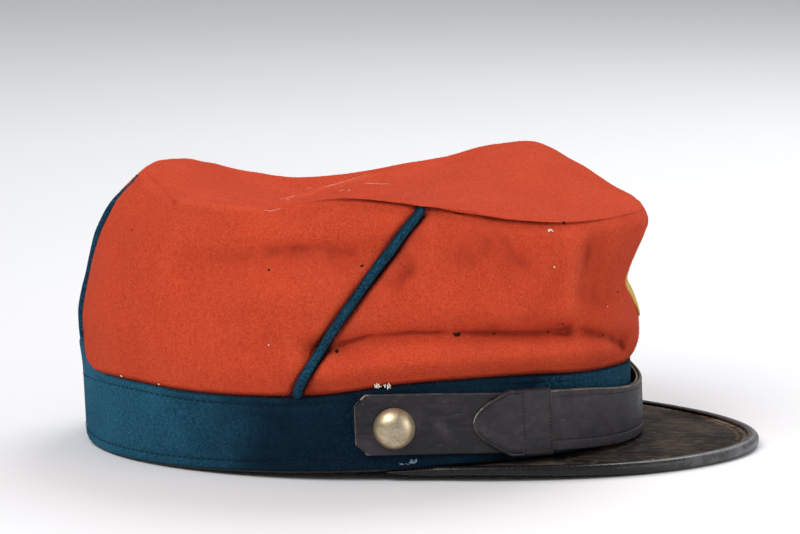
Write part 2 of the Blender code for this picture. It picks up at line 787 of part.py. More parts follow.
def main():
    for old in list(bpy.data.objects):
        bpy.data.objects.remove(old)
    cap = bpy.data.collections.new("kepi_cap")
    cutters = bpy.data.collections.new("cutters")
    for collection in (cap, cutters):
        bpy.context.scene.collection.children.link(collection)
    frame = bpy.data.objects.new("cap_frame", None)
    cap.objects.link(frame)
    red, blue, yellow, leather, brass = (make_material(name) for name in COLOURS)

    def right_seam(height):
        return -side_seam(height)

    def back_seam(height):
        return BACK_SEAM

    def back_seam_from_left(height):
        return BACK_SEAM + 2 * math.pi

    band = add_band(blue, cap, frame)
    over_stand = STRAP_STAND + STRAP_LEATHER + GAP
    under_strap = add_strap("strap_right", -1, STRAP_STAND, STRAP_END, leather, cap, frame)
    over_strap = add_strap("strap_left", 1, over_stand, STRAP_END, leather, cap, frame)
    pieces = [
        band,
        under_strap,
        over_strap,
        add_sweatband(leather, cap, frame),
        add_panel("crown_front", right_seam, side_seam, red, cap, frame),
        add_panel("crown_back_right", back_seam, right_seam, red, cap, frame),
        add_panel("crown_back_left", side_seam, back_seam_from_left, red, cap, frame),
        add_crown_top(red, cap, frame),
        add_piping("piping_right", right_seam, blue, cap, frame),
        add_piping("piping_left", side_seam, blue, cap, frame),
        add_piping("piping_back", back_seam, blue, cap, frame),
        add_badge(yellow, cap, frame),
        add_visor(leather, cap, frame),
        add_binding(leather, cap, frame),
    ]
    for side, word in ((-1, "right"), (1, "left")):
        pieces.append(add_loop("strap_loop_" + word, side, leather, cap, frame))
        pieces.append(add_button("button_" + word, side, brass, cap, frame))
        cut_shank_hole(band, side, cutters, frame)
        cut_shank_hole(under_strap if side < 0 else over_strap, side, cutters, frame)
    pieces.append(add_tongue("strap_tongue_right", -1, STRAP_STAND, leather, cap, frame))
    pieces.append(add_tongue("strap_tongue_left", 1, over_stand, leather, cap, frame))
    stand_on_floor(frame, pieces)


main()
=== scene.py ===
"""Dresses the packed kepi cap: felt, leather, brass and thread, with a floor, lights and a camera."""

import itertools
import math
from collections import namedtuple

import bpy
import numpy as np
from bpy.props import FloatProperty, FloatVectorProperty, IntProperty, PointerProperty
from mathutils import Matrix, Vector
from mathutils.bvhtree import BVHTree


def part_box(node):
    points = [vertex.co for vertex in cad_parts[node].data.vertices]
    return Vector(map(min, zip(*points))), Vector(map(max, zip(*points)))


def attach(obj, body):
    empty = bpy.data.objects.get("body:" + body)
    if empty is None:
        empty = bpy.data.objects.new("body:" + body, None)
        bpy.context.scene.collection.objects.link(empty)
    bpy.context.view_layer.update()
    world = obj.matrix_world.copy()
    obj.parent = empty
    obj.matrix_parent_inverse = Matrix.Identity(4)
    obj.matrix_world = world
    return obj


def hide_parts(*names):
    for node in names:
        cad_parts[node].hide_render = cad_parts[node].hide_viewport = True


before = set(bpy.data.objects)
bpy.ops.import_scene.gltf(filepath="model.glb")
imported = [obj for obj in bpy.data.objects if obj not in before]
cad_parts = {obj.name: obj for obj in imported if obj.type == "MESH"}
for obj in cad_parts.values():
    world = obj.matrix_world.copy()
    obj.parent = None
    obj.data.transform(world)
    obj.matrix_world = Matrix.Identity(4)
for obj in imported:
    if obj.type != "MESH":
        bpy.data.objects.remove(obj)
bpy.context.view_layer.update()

bl_info = {
    "name": "Kepi Cap",
    "version": (1, 0, 0),
    "blender": (4, 5, 0),
    "location": "3D View > Sidebar > Kepi",
    "description": "Dresses the packed cap in felt, leather, brass and thread",
    "category": "Object",
}

MM = 0.001
SIDES = (("right", -1), ("left", 1))
UP = np.array((0.0, 0.0, 1.0))

# How finely the pieces are divided
CROWN_COLUMNS, CROWN_ROWS, CROWN_RINGS = 540, 72, 38
BAND_COLUMNS, STITCH_LINE_POINTS = 480, 400
VISOR_COLUMNS, BINDING_COLUMNS = 181, 241
STRAP_ROWS, CUT_ROWS = 150, 9
PIPING_ROWS, PIPING_SIDES = 150, 16
BUTTON_SIDES, PATCH_SIDES, PIT_SIDES, STRAND_SIDES = 72, 96, 18, 5

# Shapes read off the photograph, as shares of named sizes; the solids' are nearly the same. Angles
# are in degrees round the head from its front, negative to the wearer's right in FOLDS.

# Bulge of the crown's wall, as shares of its height: height, front, side, back
WALL_SECTIONS = (
    (0.0, 0.0, 0.0, 0.0), (0.15, 0.04, 0.06, 0.044), (0.3, 0.029, 0.098, 0.102),
    (0.42, -0.01, 0.125, 0.121), (0.52, -0.055, 0.148, 0.13), (0.62, -0.046, 0.165, 0.139),
    (0.75, -0.012, 0.165, 0.146), (0.87, 0.028, 0.13, 0.118), (0.95, 0.042, 0.07, 0.065),
    (1.0, 0.0, 0.0, 0.0),
)
# Height of the top's edge over the band, as shares of the crown's height: angle, right, left
EDGE_HEIGHTS = (
    (0, 0.803, 0.803), (15, 0.815, 0.821), (33, 0.825, 0.875), (45, 0.843, 0.966),
    (58, 0.89, 1.07), (70, 0.955, 1.052), (83, 1.012, 0.982), (97, 1.038, 0.93),
    (110, 0.992, 0.897), (120, 0.99, 0.9), (134, 1.002, 0.97), (150, 0.995, 1.062),
    (165, 1.037, 1.096), (180, 1.083, 1.083),
)
# Sag of the top's middle below its edges: place from the back, -1, to the front, 1, and depth
TOP_SAGS = (
    (-1.0, 0.0), (-0.85, -0.03), (-0.68, 0.01), (-0.46, 0.08), (-0.3, 0.13), (-0.12, 0.13),
    (0.12, 0.08), (0.36, 0.03), (0.53, -0.005), (0.72, 0.0), (0.86, 0.0), (1.0, 0.0),
)
# The band's edges as shares of its height: angle, top, bottom
BAND_EDGES = (
    (0, 0.89, -0.075), (15, 0.94, -0.07), (30, 0.995, -0.045), (45, 1.08, -0.015),
    (60, 1.12, 0.0), (75, 1.11, 0.0), (90, 1.01, 0.0), (105, 0.995, 0.0),
    (120, 1.02, 0.0), (135, 1.07, 0.005), (150, 1.075, 0.02), (165, 1.04, 0.05),
    (180, 0.95, 0.075),
)
# Large folds of the wall: start angle and height, end angle and height, breadth, depth inwards
FOLDS = (
    (-93, 0.25, -38, 0.285, 0.07, 0.055), (-32, 0.27, -12, 0.15, 0.06, 0.04),
    (-92, 0.13, -25, 0.14, 0.09, -0.035), (-85, 0.45, -40, 0.45, 0.13, -0.025),
    (-124, 0.69, -86, 0.76, 0.12, 0.055), (-28, 0.52, -30, 0.88, 0.075, 0.02),
    (-39, 0.5, -41, 0.9, 0.08, -0.02), (-64, 0.72, -55, 0.74, 0.15, 0.03),
    (42, 0.3, 98, 0.24, 0.08, 0.05), (30, 0.14, 95, 0.13, 0.09, -0.03),
    (84, 0.78, 128, 0.7, 0.14, 0.065), (24, 0.5, 33, 0.86, 0.08, 0.03),
    (152, 0.4, 166, 0.62, 0.12, 0.02),
)
# Middle of the chin strap above the rim, as a share of the band's height: angle, level
STRAP_LEVELS = (
    (0, 0.31), (18, 0.35), (29, 0.4), (41, 0.467), (55, 0.533), (70, 0.6), (90, 0.63),
)
# Visor's outer edge below the rim's plane: place from its middle, 0, to its end, 1, and drop
VISOR_LEVELS = (
    (0.0, 1.0), (0.25, 0.95), (0.5, 0.74), (0.7, 0.4), (0.85, 0.12), (1.0, 0.02),
)

# Rings rubbed into the visor's face: pixel of the photograph, radius and breadth in mm
VISOR_RINGS = (((668, 428), 5.0, 0.5), ((640, 440), 8.0, 0.35), ((700, 452), 13.0, 0.3))

# How far the edge of the top stands out as a lip over the wall: angle, right, left
LIPS = (
    (0, 0.35, 0.35), (30, 0.45, 0.45), (45, 0.8, 0.7), (58, 1.0, 0.9), (75, 1.0, 0.9),
    (88, 0.85, 0.8), (100, 0.32, 0.4), (109, 0.1, 0.3), (114, 0.02, 0.25), (150, 0.05, 0.2),
    (180, 0.15, 0.15),
)
# The lip's section from the wall up: outwards and up from the edge where the lip is full, then
# the same where the cloth runs over the edge without one, in mm
LIP_SECTION = (
    (-1.5, -1.45, 0.12, -0.42), (-1.3, -1.2, 0.02, -0.28), (-0.6, -1.12, -0.1, -0.17),
    (-0.05, -1.02, -0.25, -0.08), (0.2, -0.8, -0.42, -0.02), (0.26, -0.55, -0.62, 0.02),
    (0.12, -0.25, -0.9, 0.05), (-0.35, -0.04, -1.25, 0.06), (-1.1, 0.03, -1.7, 0.06),
)
# The crown's lower hem: inwards from the wall and up from the band, in mm
HEM_SECTION = ((2.0, -0.40), (1.3, -0.18), (0.75, 0.02), (0.35, 0.42), (0.12, 0.85))

# Marks on the crown as the photograph shows them. Each runs through points given in pixels of
# its 800 by 534 frame, and is laid on the cloth along the camera's sight lines: breadth and
# depth inwards in mm, then how much darker it leaves the cloth, which is painted shade in its
# hollow with a little soil, and how much paler, which is wear on the worn ridge and a painted
# highlight elsewhere.
Mark = namedtuple("Mark", "points breadth depth dirt wear")
MARKS = [Mark(*row) for row in (
    # Waist crease and its pits, darkened with painted shade
    (((332, 347), (352, 342), (370, 337), (410, 334), (450, 333)), 1.3, 0.8, 0.5, 0),
    (((450, 333), (490, 334), (520, 334), (580, 332)), 1.3, 0.8, 0.5, 0),
    (((580, 332), (605, 335), (620, 342), (630, 351)), 1.8, 0.5, 0.35, 0),
    (((450, 328), (500, 329), (560, 326), (600, 328)), 2.6, 0.2, 0.22, 0),
    # Roll of cloth under the crease, paler with a painted highlight
    (((350, 358), (430, 350), (520, 350), (600, 352)), 5.0, -0.7, 0, 0.12),
    # Hollows, darkened with painted shade and a little soil
    (((190, 266), (240, 261), (270, 257), (305, 255), (350, 258), (392, 264)), 6.2, 1.9, 0.3, 0),
    (((258, 252), (300, 247), (325, 248), (362, 254)), 1.8, 0.4, 0.14, 0),
    (((265, 222), (300, 214), (345, 206)), 4.0, 0.4, 0.3, 0),
    (((215, 300), (262, 318), (300, 322)), 5.0, 0.4, 0.14, 0),
    (((402, 245), (408, 270), (385, 305)), 5.0, 0.5, 0.46, 0),
    (((430, 232), (500, 242), (560, 252)), 10.0, 0.2, 0.36, 0),
    (((588, 222), (591, 250), (588, 286)), 4.6, 0.8, 0.24, 0),
    (((608, 235), (612, 275), (608, 315)), 7.0, 0.2, 0.26, 0),
    (((448, 246), (466, 256), (482, 262)), 4.5, 0.6, 0.18, 0),
    (((455, 318), (540, 317), (635, 312)), 3.6, 0.3, 0.22, 0),
    (((500, 238), (520, 262), (552, 284)), 3.0, 0.35, 0.12, 0),
    (((560, 290), (598, 300), (622, 300)), 14.0, 0.0, 0.17, 0),
    # Ridge at the right front, paler with a painted highlight
    (((566, 236), (573, 276), (576, 308)), 3.5, -0.6, 0, 0.1),
    # Slack cloth at the back, its folds darkened with painted shade
    (((118, 230), (126, 270), (120, 320)), 6.0, 0.5, 0.12, 0),
    (((160, 208), (205, 212), (240, 222)), 4.5, 0.5, 0.16, 0),
    (((190, 330), (240, 344), (292, 350)), 6.0, 0.4, 0.1, 0),
    # Worn ridge between the back seam and the lip
    (((176, 200), (215, 207), (262, 210)), 1.6, -0.25, 0, 0.35),
    (((262, 210), (290, 198), (325, 187), (383, 172)), 1.4, -0.2, 0, 0.4),
    # Back seam of the top, darkened with painted shade
    (((150, 175), (162, 188), (176, 204)), 0.8, 0.5, 0.3, 0),
)]
# Small holes and tufts of fluff, placed as the marks are: pixel and size in mm
SPOTS = {
    "hole": (
        ((456, 333), 3.0), ((494, 334), 1.3), ((548, 332), 1.1), ((563, 324), 0.9),
        ((603, 335), 1.1), ((337, 351), 1.5), ((362, 266), 1.1), ((618, 292), 0.9),
        ((564, 222), 1.0), ((269, 270), 1.0), ((132, 230), 0.8),
    ),
    "star": (((550, 231), 2.2),),
    "speck": (
        ((269, 345), 0.7), ((122, 376), 1.3), ((159, 384), 0.7), ((554, 267), 0.8),
        ((607, 307), 0.6), ((342, 187), 0.9), ((349, 191), 0.7),
    ),
}

# Long pale hairs along the crown's ridge, in the same pixels
HAIRS = (
    ((264, 210), (272, 211), (282, 208)), ((278, 199), (288, 198), (297, 195)),
    ((285, 200), (292, 199)), ((325, 187), (336, 184), (350, 180)),
    ((346, 181), (360, 177), (372, 174)), ((362, 183), (378, 184), (392, 184)),
    ((304, 190), (314, 187)), ((338, 192), (345, 189)),
)
HAIR_RADIUS = 0.07  # in mm
# How many fibres are crossed in a tuft of fluff
FLUFF_STRANDS = {"star": 9, "speck": 4}
# Frayed threads on the band: middle, half width and height and a strand's reach in the same
# pixels, how many strands, their radius in mm, and whether they are undyed
Tuft = namedtuple("Tuft", "middle half_width half_height reach count radius pale")
TUFTS = [Tuft(*row) for row in (
    ((383, 386), 9.0, 2.6, (1.6, 3.2), 16, 0.20, True),
    ((413, 461.5), 3.4, 3.4, (1.5, 1.1), 34, 0.08, False),
    ((405, 464), 5.0, 1.6, (2.2, 0.5), 16, 0.06, False),
)]

# The band's section round from its lower edge: which edge it is measured from, then distance
# from that edge and outwards, in mm
BAND_SECTION = (
    ("low", (
        (0.0, -1.3), (0.12, -0.7), (0.45, -0.25), (1.0, -0.04), (2.4, 0.0), (3.2, -0.10),
        (3.6, -0.26), (4.0, -0.10), (4.8, 0.0), (8.0, 0.0), (11.0, 0.0),
    )),
    ("high", (
        (11.0, 0.0), (8.0, 0.0), (5.5, 0.0), (3.9, 0.0), (3.1, -0.10), (2.7, -0.26), (2.3, -0.10),
        (1.5, 0.0), (0.8, -0.08), (0.3, -0.35), (0.05, -0.8), (0.0, -1.4), (0.2, -2.1), (0.8, -2.4),
        (6.0, -2.4),
    )),
    ("low", (
        (6.0, -2.4), (0.8, -2.4), (0.2, -2.1),
    )),
)
# Its rows of stitches: edge, distance from it in mm, and the angle from the front where they start
BAND_LINES = (("low", 3.6, 0), ("high", 2.7, 62))

# The strap's section: across it in mm, upwards, and outwards as a share of its thickness
STRAP_SECTION = (
    (-10.9, 0.3), (-10.78, 0.72), (-10.45, 0.94), (-10.28, 0.975), (-9.8, 1.0), (-7.9, 1.0),
    (-7.5, 0.94), (-7.2, 0.74), (-6.9, 0.94), (-6.5, 1.0), (-3.0, 1.0), (0.0, 1.0), (3.5, 1.0),
    (7.6, 1.0), (8.0, 0.94), (8.3, 0.74), (8.6, 0.94), (9.0, 1.0), (9.9, 1.0), (10.28, 0.975),
    (10.45, 0.94), (10.78, 0.72), (10.9, 0.3), (10.75, 0.03), (10.2, 0.0), (0.0, 0.0),
    (-10.2, 0.0), (-10.75, 0.03),
)

# The turned profile of a button of the width given, in mm: distance from its axis, height over
# its seat
BUTTON_PROFILE_WIDTH = 14.8
BUTTON_PROFILE = (
    (0.4, 5.2), (1.5, 5.12), (2.6, 4.92), (3.6, 4.6), (4.5, 4.16), (5.3, 3.62), (6.0, 3.0),
    (6.6, 2.28), (7.0, 1.62), (7.25, 1.05), (7.38, 0.62), (7.34, 0.28), (7.12, 0.06), (6.6, 0.0),
    (2.4, 0.0), (1.2, -0.1), (1.2, -3.6), (0.4, -3.6),
)

# Tones in scene linear: painted shade deep in a crevice, a bare cut edge, and what has come over the brass,
# whose brown at the rim also carries painted shade
PAINTED_CREVICE_SHADE = (0.010, 0.005, 0.006)
CREAM = (0.42, 0.34, 0.25)
TARNISH_GREY, TARNISH_AND_SHADE_BROWN, TARNISH_SPECK = (0.30, 0.30, 0.29), (0.10, 0.062, 0.03), (0.10, 0.08, 0.06)
# Each felt's material, deep and pale fibres, and how strong its streaks and its speckle are
FELTS = {
    "red": ("felt_madder_red", (0.27, 0.022, 0.011), (0.68, 0.115, 0.052), 0.10, 0.42),
    "blue": ("felt_band_blue", (0.0018, 0.0075, 0.018), (0.020, 0.115, 0.185), 0.15, 0.85),
    "yellow": ("felt_patch_yellow", (0.40, 0.24, 0.05), (0.85, 0.66, 0.28), 0.2, 0.3),
}

# Each light's name, place and width in metres
LIGHTS = (
    ("key", (-0.55, -1.05, 1.25), 1.1),
    ("fill", (1.3, -0.5, 0.42), 0.8),
    ("rim", (0.35, 0.9, 1.1), 0.9),
)
FLOOR_REACH, SKY_STRENGTH, SENSOR_WIDTH = 6.0, 0.64, 36

# How far the band's cloth starts over the rim, how far the patch's back lies in the crown's felt,
# and where its stitches run, as a share of its half width
BAND_LIFT, PATCH_SINK, PATCH_BORDER = 0.6 * MM, 0.25 * MM, 0.86
# The patch's section from its middle to its edge and back underneath: reach, then height as a
# share of its thickness
PATCH_SECTION = (
    (0.02, 1.0), (0.2, 1.0), (0.4, 1.0), (0.6, 1.0), (0.78, 1.0), (PATCH_BORDER, 0.72), (0.93, 1.0),
    (0.975, 0.9), (1.0, 0.55), (1.0, 0.1), (0.98, 0.0), (0.6, 0.0), (0.02, 0.0),
)
# The tab: roundness of its outline, how far it rises to its loop, and how far its groove lies
# from its edge in mm
TAB_ROUNDNESS, TAB_RISE, TAB_GROOVE = 0.52, 1.05 * MM, 1.25


def length(label, note, millimetres):
    """A size in a property group."""
    return FloatProperty(name=label, description=note, default=millimetres * MM, unit="LENGTH", precision=5)


def turn(label, note, degrees):
    """An angle in a property group."""
    return FloatProperty(name=label, description=note, default=math.radians(degrees), subtype="ANGLE")


def number(label, note, value):
    """A plain number in a property group."""
    return FloatProperty(name=label, description=note, default=value)


def power(label, note, watts):
    """A lamp's power in a property group."""
    return FloatProperty(name=label, description=note, default=watts, unit="POWER")


def spot_in_space(label, note, place):
    """A point in a property group."""
    return FloatVectorProperty(name=label, description=note, default=place, unit="LENGTH", subtype="XYZ")


def colour(label, note, value):
    """A colour in a property group, scene linear."""
    return FloatVectorProperty(name=label, description=note, default=value, subtype="COLOR", min=0, max=1)


class KepiForm(bpy.types.PropertyGroup):
    """Sizes of the crown, band and piping, nearly as in the solids."""

    gap: length("Gap", "Clearance between neighbouring pieces", 0.3)
    band_length: length("Band length", "Front to back over the band's outer face", 203)
    band_width: length("Band width", "Side to side over the band's outer face", 163)
    band_height: length("Band height", "Nominal height of the band", 27.4)
    band_cloth: length("Band cloth", "Thickness of the band", 2.4)
    sweat_height: length("Sweatband height", "Height of the leather inside the band", 24)
    sweat_leather: length("Sweatband leather", "Thickness of the sweatband", 1.2)
    crown_height: length("Crown height", "Nominal height of the crown over the band", 66)
    crown_cloth: length("Crown cloth", "Thickness of the crown's felt", 2)
    crown_inset: length("Crown inset", "How far the wall starts inside the band's face", 0.5)
    top_length: length("Top length", "Front to back of the crown's top", 183)
    top_width: length("Top width", "Side to side of the crown's top", 136)
    top_forward: length("Top forward", "How far the top sits forward of the band's middle", 15.5)
    top_overhang: length("Top overhang", "How far the top's edge stands over the wall", 0.6)
    side_seam_low: turn("Side seam low", "Angle of the side seams at the band", 95.7)
    side_seam_high: turn("Side seam high", "Angle of the side seams at the top", 77.5)
    side_seam_bow: turn("Side seam bow", "How far the side seams bow back at half height", 1.35)
    back_seam: turn("Back seam", "Angle of the back seam", -174)
    piping_diameter: length("Piping diameter", "Thickness of the rolls in the seams", 3.8)
    piping_stand: length("Piping stand", "How far the rolls' middle stands over the wall", 0.6)


class KepiCloth(bpy.types.PropertyGroup):
    """How the felt is laid, worn and coloured."""

    swell: length("Swell", "Height of the soft unevenness of the felt", 0.32)
    pucker: length("Pucker", "Height of the small puckers of the felt", 0.12)
    seam_depth: length("Seam depth", "How deep the cloth dips beside the piping", 1.8)
    seam_breadth: length("Seam breadth", "How wide the cloth dips beside the piping", 2.5)
    nap_density: number("Nap density", "Loose hairs on a square metre of felt", 600000)
    nap_length: length("Nap length", "Length of a loose hair", 1.1)
    nap_breadth: length("Nap breadth", "Thickness of a loose hair", 0.035)
    seed: IntProperty(name="Seed", description="Fixes every random draw in the cloth", default=7)
    red: colour("Madder red", "Colour of the crown's felt", (0.565, 0.0575, 0.0207))
    blue: colour("Band blue", "Colour of the band and the piping", (0.0065, 0.030, 0.056))
    yellow: colour("Patch yellow", "Colour of the front patch", (0.72, 0.48, 0.12))


class KepiLeather(bpy.types.PropertyGroup):
    """Sizes and colours of the visor and the chin strap, nearly as in the solids."""

    visor_reach: length("Visor reach", "How far the visor stands before the band", 44.8)
    visor_half_angle: turn("Visor half angle", "Where the visor's ends meet the band", 68)
    visor_tail: turn("Visor tail", "How far a thin tail of it runs on under the rim", 10)
    visor_end_width: length("Visor end width", "How far its ends stand outside the band", 0.4)
    visor_tuck: length("Visor tuck", "How far its root is tucked under the rim", 2.4)
    visor_leather: length("Visor leather", "Thickness of the visor", 2.0)
    visor_drop: length("Visor drop", "How far its tip hangs below the rim", 5.2)
    visor_point: number("Visor point", "Roundness of the visor's outline", 1.88)
    binding_leather: length("Binding leather", "Thickness of the folded edge strip", 0.9)
    binding_lap: length("Binding lap", "How far the strip lies over the visor", 2.8)
    strap_width: length("Strap width", "Width of the chin strap", 21.8)
    strap_leather: length("Strap leather", "Thickness of the chin strap", 1.0)
    strap_stand: length("Strap stand", "How far the strap stands off the band at its loops", 1.4)
    strap_corner: length("Strap corner", "Cut corners at the strap's button end", 4)
    strap_start: turn("Strap start", "Angle of the strap's button end", 83.9)
    strap_seat: turn("Strap seat", "How far from the button the strap starts to lift", 6)
    strap_lift: turn("Strap lift", "How far behind the loop the strap has lifted", 8)
    loop_front: turn("Loop front", "Angle of a loop's front edge", 42.4)
    strap_past: turn("Strap past loop", "How far a strip runs on into the far loop", 3)
    loop_length: length("Loop length", "Length of a loop along the strap", 12.3)
    loop_leather: length("Loop leather", "Thickness of a loop", 0.8)
    tab_length: length("Tab length", "Length of the pointed tab behind a loop", 15.9)
    tab_taper: length("Tab taper", "Length over which the tab comes to its point", 12.4)
    black: colour("Leather black", "Colour of the strap and the binding", (0.0120, 0.0102, 0.0130))
    worn: colour("Leather worn", "Colour where the visor's face is worn", (0.085, 0.066, 0.052))
    raw: colour("Leather raw edge", "Colour of a cut edge", (0.16, 0.075, 0.035))


class KepiTrim(bpy.types.PropertyGroup):
    """Buttons, patch and thread."""

    button_angle: turn("Button angle", "Angle of the side buttons", 76.2)
    button_level: length("Button level", "Height of a button's middle over the rim", 15.7)
    button_diameter: length("Button diameter", "Width of a side button", 14.8)
    patch_width: length("Patch width", "Width of the front patch", 25)
    patch_height: length("Patch height", "Height of the front patch", 34)
    patch_cloth: length("Patch cloth", "Thickness of the front patch", 0.7)
    patch_level: number("Patch level", "Height of the patch's middle on the wall", 0.565)
    patch_angle: turn("Patch angle", "Angle of the patch's middle", 7)
    stitch_pitch: length("Stitch pitch", "Distance from stitch to stitch", 2.6)
    stitch_length: length("Stitch length", "Length of a stitch on the face", 1.9)
    thread_radius: length("Thread radius", "Half the thickness of the sewing thread", 0.17)
    brass: colour("Brass", "Colour of the buttons", (0.61, 0.49, 0.32))


class KepiStage(bpy.types.PropertyGroup):
    """Floor, lights and camera."""

    camera_place: spot_in_space("Camera place", "Where the camera stands", (0.1838, -1.4552, 0.2961))
    camera_aim: spot_in_space("Camera aim", "The point that the camera looks at", (-0.0063, 0, 0.0639))
    camera_lens: number("Camera lens", "Focal length in mm", 182.25)
    frame_width: number("Frame width", "Width of the picture in pixels", 800)
    frame_height: number("Frame height", "Height of the picture in pixels", 534)
    key_power: power("Key light", "Power of the large soft light", 19.5)
    fill_power: power("Fill light", "Power of the low front light", 4.2)
    rim_power: power("Rim light", "Power of the light behind", 11)
    sky: colour("Surroundings", "Colour of the pale surroundings", (0.62, 0.63, 0.65))
    ground: colour("Floor", "Colour of the floor", (0.84, 0.84, 0.85))


def kepi():
    """The property groups by short names."""
    scene = bpy.context.scene
    return scene.kepi_form, scene.kepi_cloth, scene.kepi_leather, scene.kepi_trim, scene.kepi_stage


# Shape functions. They take numbers or arrays and give points in the cap's own frame, which is
# level; lay_down turns them into the frame of the model.


def point(x, y, z):
    return np.stack(np.broadcast_arrays(x, y, z), -1).astype(float)


def unit(vectors):
    return vectors / np.maximum(np.linalg.norm(vectors, axis=-1, keepdims=True), 1e-12)


def along(rows, places, column=1, flat_ends=True):
    """A column's value at places in the rows' first column, on a smooth curve through the rows."""
    spots = np.array([row[0] for row in rows], float)
    values = np.array([row[column] for row in rows], float)
    slopes = np.zeros(len(values))
    slopes[1:-1] = (values[2:] - values[:-2]) / (spots[2:] - spots[:-2])
    if not flat_ends:
        slopes[0] = (values[1] - values[0]) / (spots[1] - spots[0])
        slopes[-1] = (values[-1] - values[-2]) / (spots[-1] - spots[-2])
    places = np.clip(places, spots[0], spots[-1])
    low = np.clip(np.searchsorted(spots, places, side="right") - 1, 0, len(spots) - 2)
    span = spots[low + 1] - spots[low]
    t = (places - spots[low]) / span
    rise = values[low + 1] - values[low]
    start, end = slopes[low] * span, slopes[low + 1] * span
    return values[low] + start * t + (3 * rise - 2 * start - end) * t**2 + (start + end - 2 * rise) * t**3


def bell(distance, breadth, power=2):
    """1 in the middle, falling off to nothing past a breadth."""
    return np.exp(-((distance / breadth) ** power))


def full_turn(count):
    """Angles all round, evenly spaced."""
    return np.arange(count) * 2 * math.pi / count


def swapped(rows):
    """Rows of points as an array with rows and columns changed over."""
    return np.swapaxes(np.array(rows), 0, 1)


def smooth_step(value, start, end):
    t = np.clip((value - start) / (end - start), 0, 1)
    return t * t * (3 - 2 * t)


def wrapped(angle):
    return (angle + math.pi) % (2 * math.pi) - math.pi


def both_sides(rows, angle):
    """A value from a table that has a right and a left column."""
    degrees = np.degrees(np.abs(wrapped(angle)))
    return np.where(wrapped(angle) < 0, along(rows, degrees, 1), along(rows, degrees, 2))


def one_side(rows, angle, column=1):
    return along(rows, np.degrees(np.abs(wrapped(angle))), column)


def level_out(angle, long, wide):
    """Level direction out of an oval at an angle."""
    return unit(point(wide * np.cos(angle), long * np.sin(angle), 0))


def band_out(angle):
    form = kepi()[0]
    return level_out(angle, form.band_length, form.band_width)


def band_point(angle, outwards, height):
    form = kepi()[0]
    on_face = point(form.band_length / 2 * np.cos(angle), form.band_width / 2 * np.sin(angle), height)
    return on_face + band_out(angle) * np.asarray(outwards)[..., None]


def band_top(angle):
    return kepi()[0].band_height * one_side(BAND_EDGES, angle, 1)


def rim_bottom(angle):
    return kepi()[0].band_height * one_side(BAND_EDGES, angle, 2)


def crown_edge(angle):
    """Height of the top's edge."""
    form = kepi()[0]
    return form.band_height + form.crown_height * both_sides(EDGE_HEIGHTS, angle)


def fold_depth(angle, height):
    form = kepi()[0]
    flat = (form.band_width / 2, form.crown_height)
    spot = np.stack(np.broadcast_arrays(wrapped(angle) * flat[0], height * flat[1]), -1)
    depth = 0.0
    for start_angle, start_height, end_angle, end_height, breadth, deep in FOLDS:
        start = np.array((math.radians(start_angle), start_height)) * flat
        line = np.array((math.radians(end_angle), end_height)) * flat - start
        reach = np.clip((spot - start) @ line / (line @ line), 0, 1)[..., None]
        away = np.linalg.norm(spot - start - line * reach, axis=-1)
        depth = depth + deep * form.crown_height * bell(away, breadth * form.crown_height)
    return depth


def wall_point(angle, height, outwards=0.0):
    """A point on the crown's wall: height is 0 at the band and 1 under the top's edge."""
    form = kepi()[0]
    angle, height, outwards = np.broadcast_arrays(angle, height, outwards)
    forward, side = np.cos(angle), np.sin(angle)
    low = band_point(angle, -form.crown_inset, 0)
    high = point(form.top_forward + form.top_length / 2 * forward, form.top_width / 2 * side, 0)
    front, beside, behind = (along(WALL_SECTIONS, height, column, False) for column in (1, 2, 3))
    bulge = form.crown_height * (np.where(forward > 0, front, behind) * forward**2 + beside * side**2)
    fade = smooth_step(height, 0, 0.08) * smooth_step(1 - height, 0, 0.08)
    out = band_out(angle)
    place = low + (high - low) * height[..., None]
    place = place + out * (bulge - fold_depth(angle, height) * fade + outwards)[..., None]
    base = band_top(angle) + form.gap
    place[..., 2] = base + (crest_height(angle) - base) * height
    return place


def top_point(reach, angle):
    """A point on the crown's top: reach is 0 at its middle and 1 at its edge."""
    form = kepi()[0]
    half_length, half_width = (size / 2 + form.top_overhang for size in (form.top_length, form.top_width))
    x, y = reach * half_length * np.cos(angle), reach * half_width * np.sin(angle)
    place = np.clip(x / half_length, -1, 1)
    edge_angle = np.arccos(place)
    right, left = crown_edge(-edge_angle), crown_edge(edge_angle)
    chord = half_width * np.sin(edge_angle)
    across = np.where(chord > MM, np.clip(y / np.maximum(chord, MM), -1, 1), 0)
    level = (right + left) / 2 + (left - right) / 2 * across
    sag = form.crown_height * along(TOP_SAGS, place) * (1 - across**2)
    return point(form.top_forward + x, y, level - sag)


def crest_height(angle):
    """Height of the wall's upper edge under the top."""
    form = kepi()[0]
    inner = 1 - (form.top_overhang + form.crown_cloth) / (form.top_width / 2)
    lowest = np.minimum(top_point(1, angle)[..., 2], top_point(inner, angle)[..., 2])
    return lowest - form.crown_cloth - form.gap


def side_seam(height):
    form = kepi()[0]
    straight = form.side_seam_low + (form.side_seam_high - form.side_seam_low) * height
    # Below the lip it bows back once more
    bent = form.side_seam_bow * (4 * height * (1 - height) + 0.36 * bell(height - 0.89, 0.09))
    return straight + bent


def seam_angle(name, height):
    """Angle of the right, left or back seam at a share of the wall's height."""
    if name == "back":
        return kepi()[0].back_seam + 0 * height
    return side_seam(height) * (1 if name == "left" else -1)


